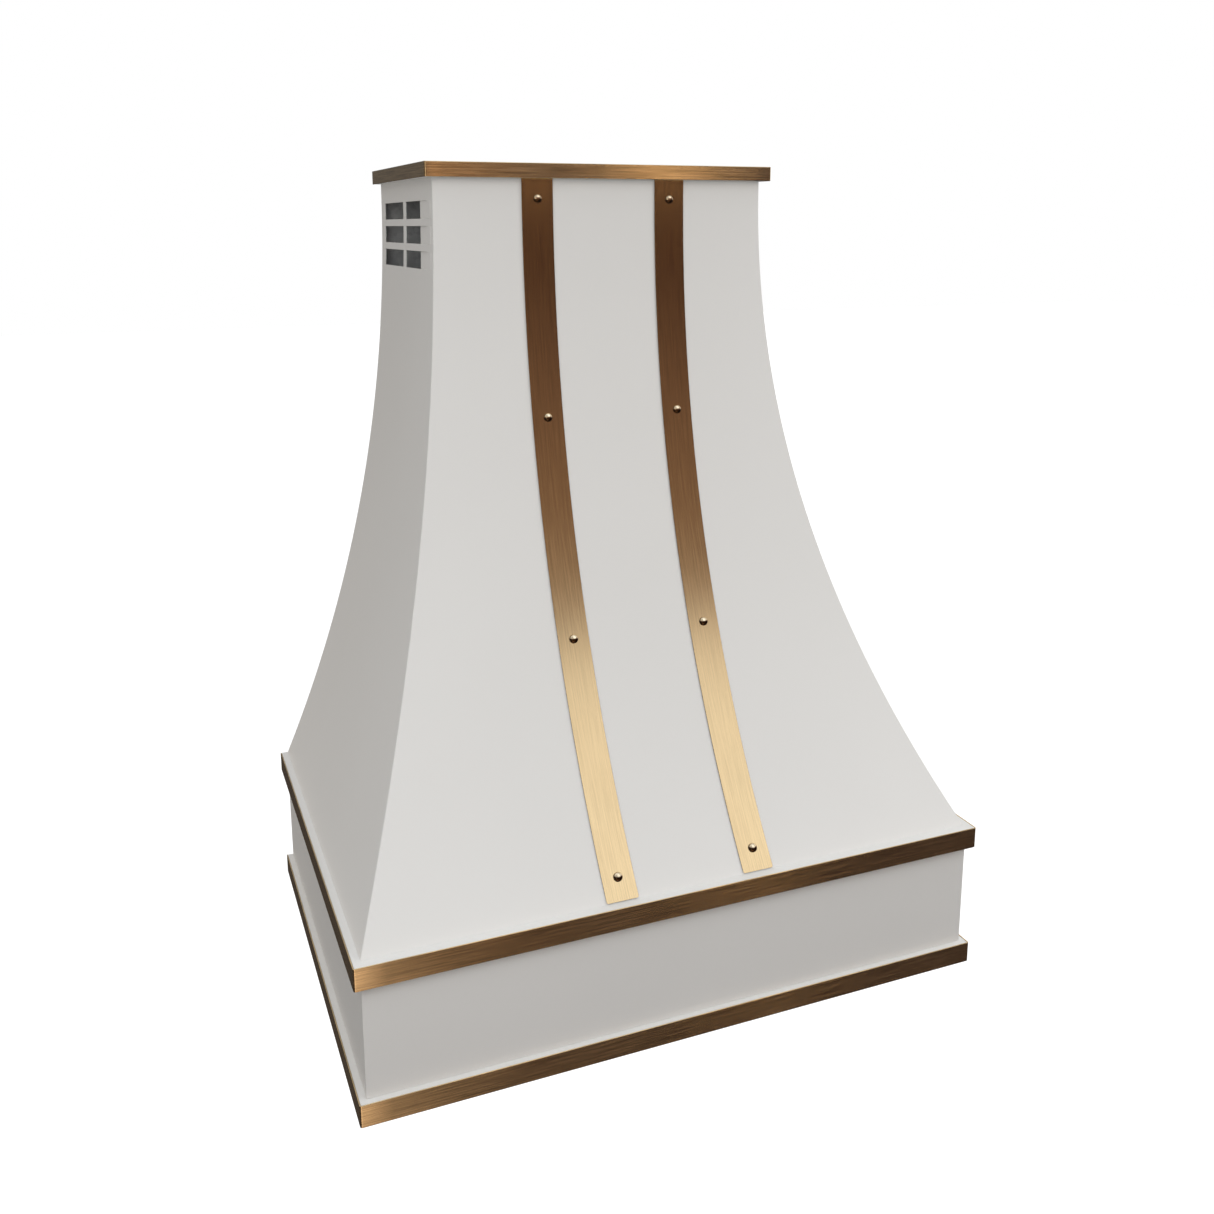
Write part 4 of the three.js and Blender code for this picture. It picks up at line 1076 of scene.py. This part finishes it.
# Name, place, target, power in watts, size, tint.
FILL_LIGHTS = (
    ("front_left_fill", (-0.90, -1.15, 1.20), (-0.3, 0.0, 0.5), 7.5, 1.0, (0.95, 0.99, 1.0)),
    ("front_right_fill", (1.55, -0.95, 1.2), (0.35, 0.0, 0.5), 10.3, 1.0, (0.97, 0.99, 0.98)),
    ("left_fill", (-1.4, 1.1, 0.45), (-0.35, 0.25, 0.35), 3.3, 0.8, (1.0, 0.92, 0.80)),
)


def studio_world():
    """A bright ceiling, a dim room, soft lights at the front and the right, and two thin strips."""
    world = bpy.data.worlds.new("studio")
    bpy.context.scene.world = world
    n = Nodes(world)
    direction = n.add("ShaderNodeTexCoord", out="Generated")
    parts = n.tree.nodes.new("ShaderNodeSeparateXYZ")
    n.link(direction, parts.inputs[0])
    behind = n.range(parts.outputs["Y"], -0.3, 0.3, 0.0, 1.0)
    sky = n.mix(behind, ramp(n, parts.outputs["Z"], FRONT_SKY), ramp(n, parts.outputs["Z"], BACK_SKY))
    for light in SOFT_BOXES:
        sky = soft_box(n, direction, sky, *light)
    for light in STRIP_LIGHTS:
        sky = strip_light(n, direction, sky, *light)
    room = n.add("ShaderNodeBackground", Color=sky)
    plain = n.add("ShaderNodeBackground", Color=colour(1, 1, 1))
    to_camera = n.add("ShaderNodeLightPath", out="Is Camera Ray")
    n.end("ShaderNodeOutputWorld", n.add("ShaderNodeMixShader", i0=to_camera, i1=room, i2=plain))


def aim(thing, azimuth, elevation, roll):
    """Points a camera along a heading: degrees from +Y towards +X, and above the horizon."""
    heading = Matrix.Rotation(math.radians(-azimuth), 4, "Z")
    tilt = Matrix.Rotation(math.radians(90 + elevation), 4, "X")
    roll_turn = Matrix.Rotation(math.radians(roll), 4, "Z")
    thing.matrix_world = Matrix.Translation(thing.location) @ heading @ tilt @ roll_turn


def fill_light(name, place, target, power, size, tint):
    """A large square lamp that shades the paint but isn't seen as a reflection."""
    data = bpy.data.lights.new(name, "AREA")
    data.energy = power
    data.size = size
    data.color = tint
    light = bpy.data.objects.new(name, data)
    bpy.context.scene.collection.objects.link(light)
    light.location = place
    light.rotation_euler = (Vector(target) - Vector(place)).to_track_quat("-Z", "Y").to_euler()
    light.visible_glossy = False


FLOOR_Z = -1.6                     # the hood hangs this high above the room's floor
FLOOR_REACH = 30.0


def floor():
    """A pale floor. It looks almost white, and the light that it throws back up is gentle."""
    r = FLOOR_REACH
    corners = [(-r, -r, FLOOR_Z), (r, -r, FLOOR_Z), (r, r, FLOOR_Z), (-r, r, FLOOR_Z)]
    plane = make_piece("studio_floor", corners, [(0, 1, 2, 3)])
    material = bpy.data.materials.new("pale_floor")
    n = Nodes(material)
    cloud = n.noise(n.place(), 0.6, 2.0)
    tone = n.mix(cloud, colour(0.45, 0.45, 0.45), colour(0.5, 0.5, 0.5))
    matt = n.add("ShaderNodeBsdfDiffuse", Color=tone)
    glow = n.add("ShaderNodeEmission", Color=colour(1, 1, 1), Strength=0.85)
    seen = n.add("ShaderNodeAddShader", i0=matt, i1=glow)
    thrown = n.add("ShaderNodeEmission", Color=colour(0.95, 0.98, 1.0), Strength=0.315)
    to_camera = n.add("ShaderNodeLightPath", out="Is Camera Ray")
    n.end("ShaderNodeOutputMaterial", n.add("ShaderNodeMixShader", i0=to_camera, i1=thrown, i2=seen))
    plane.data.materials.append(material)
    plane.visible_glossy = False


def camera():
    """The photo's camera, fitted to the hood's corners in the photo."""
    data = bpy.data.cameras.new("camera")
    data.sensor_width = 36.0
    data.lens = 35.76
    data.shift_y = -0.1065
    data.clip_start = 0.05
    eye = bpy.data.objects.new("camera", data)
    bpy.context.scene.collection.objects.link(eye)
    eye.location = (-0.5491, -1.3622, 0.9054)
    aim(eye, 22.09, -11.81, -0.12)
    bpy.context.scene.camera = eye


studio_world()
for fill in FILL_LIGHTS:
    fill_light(*fill)
floor()
camera()
view = bpy.context.scene.view_settings
view.view_transform = "Standard"
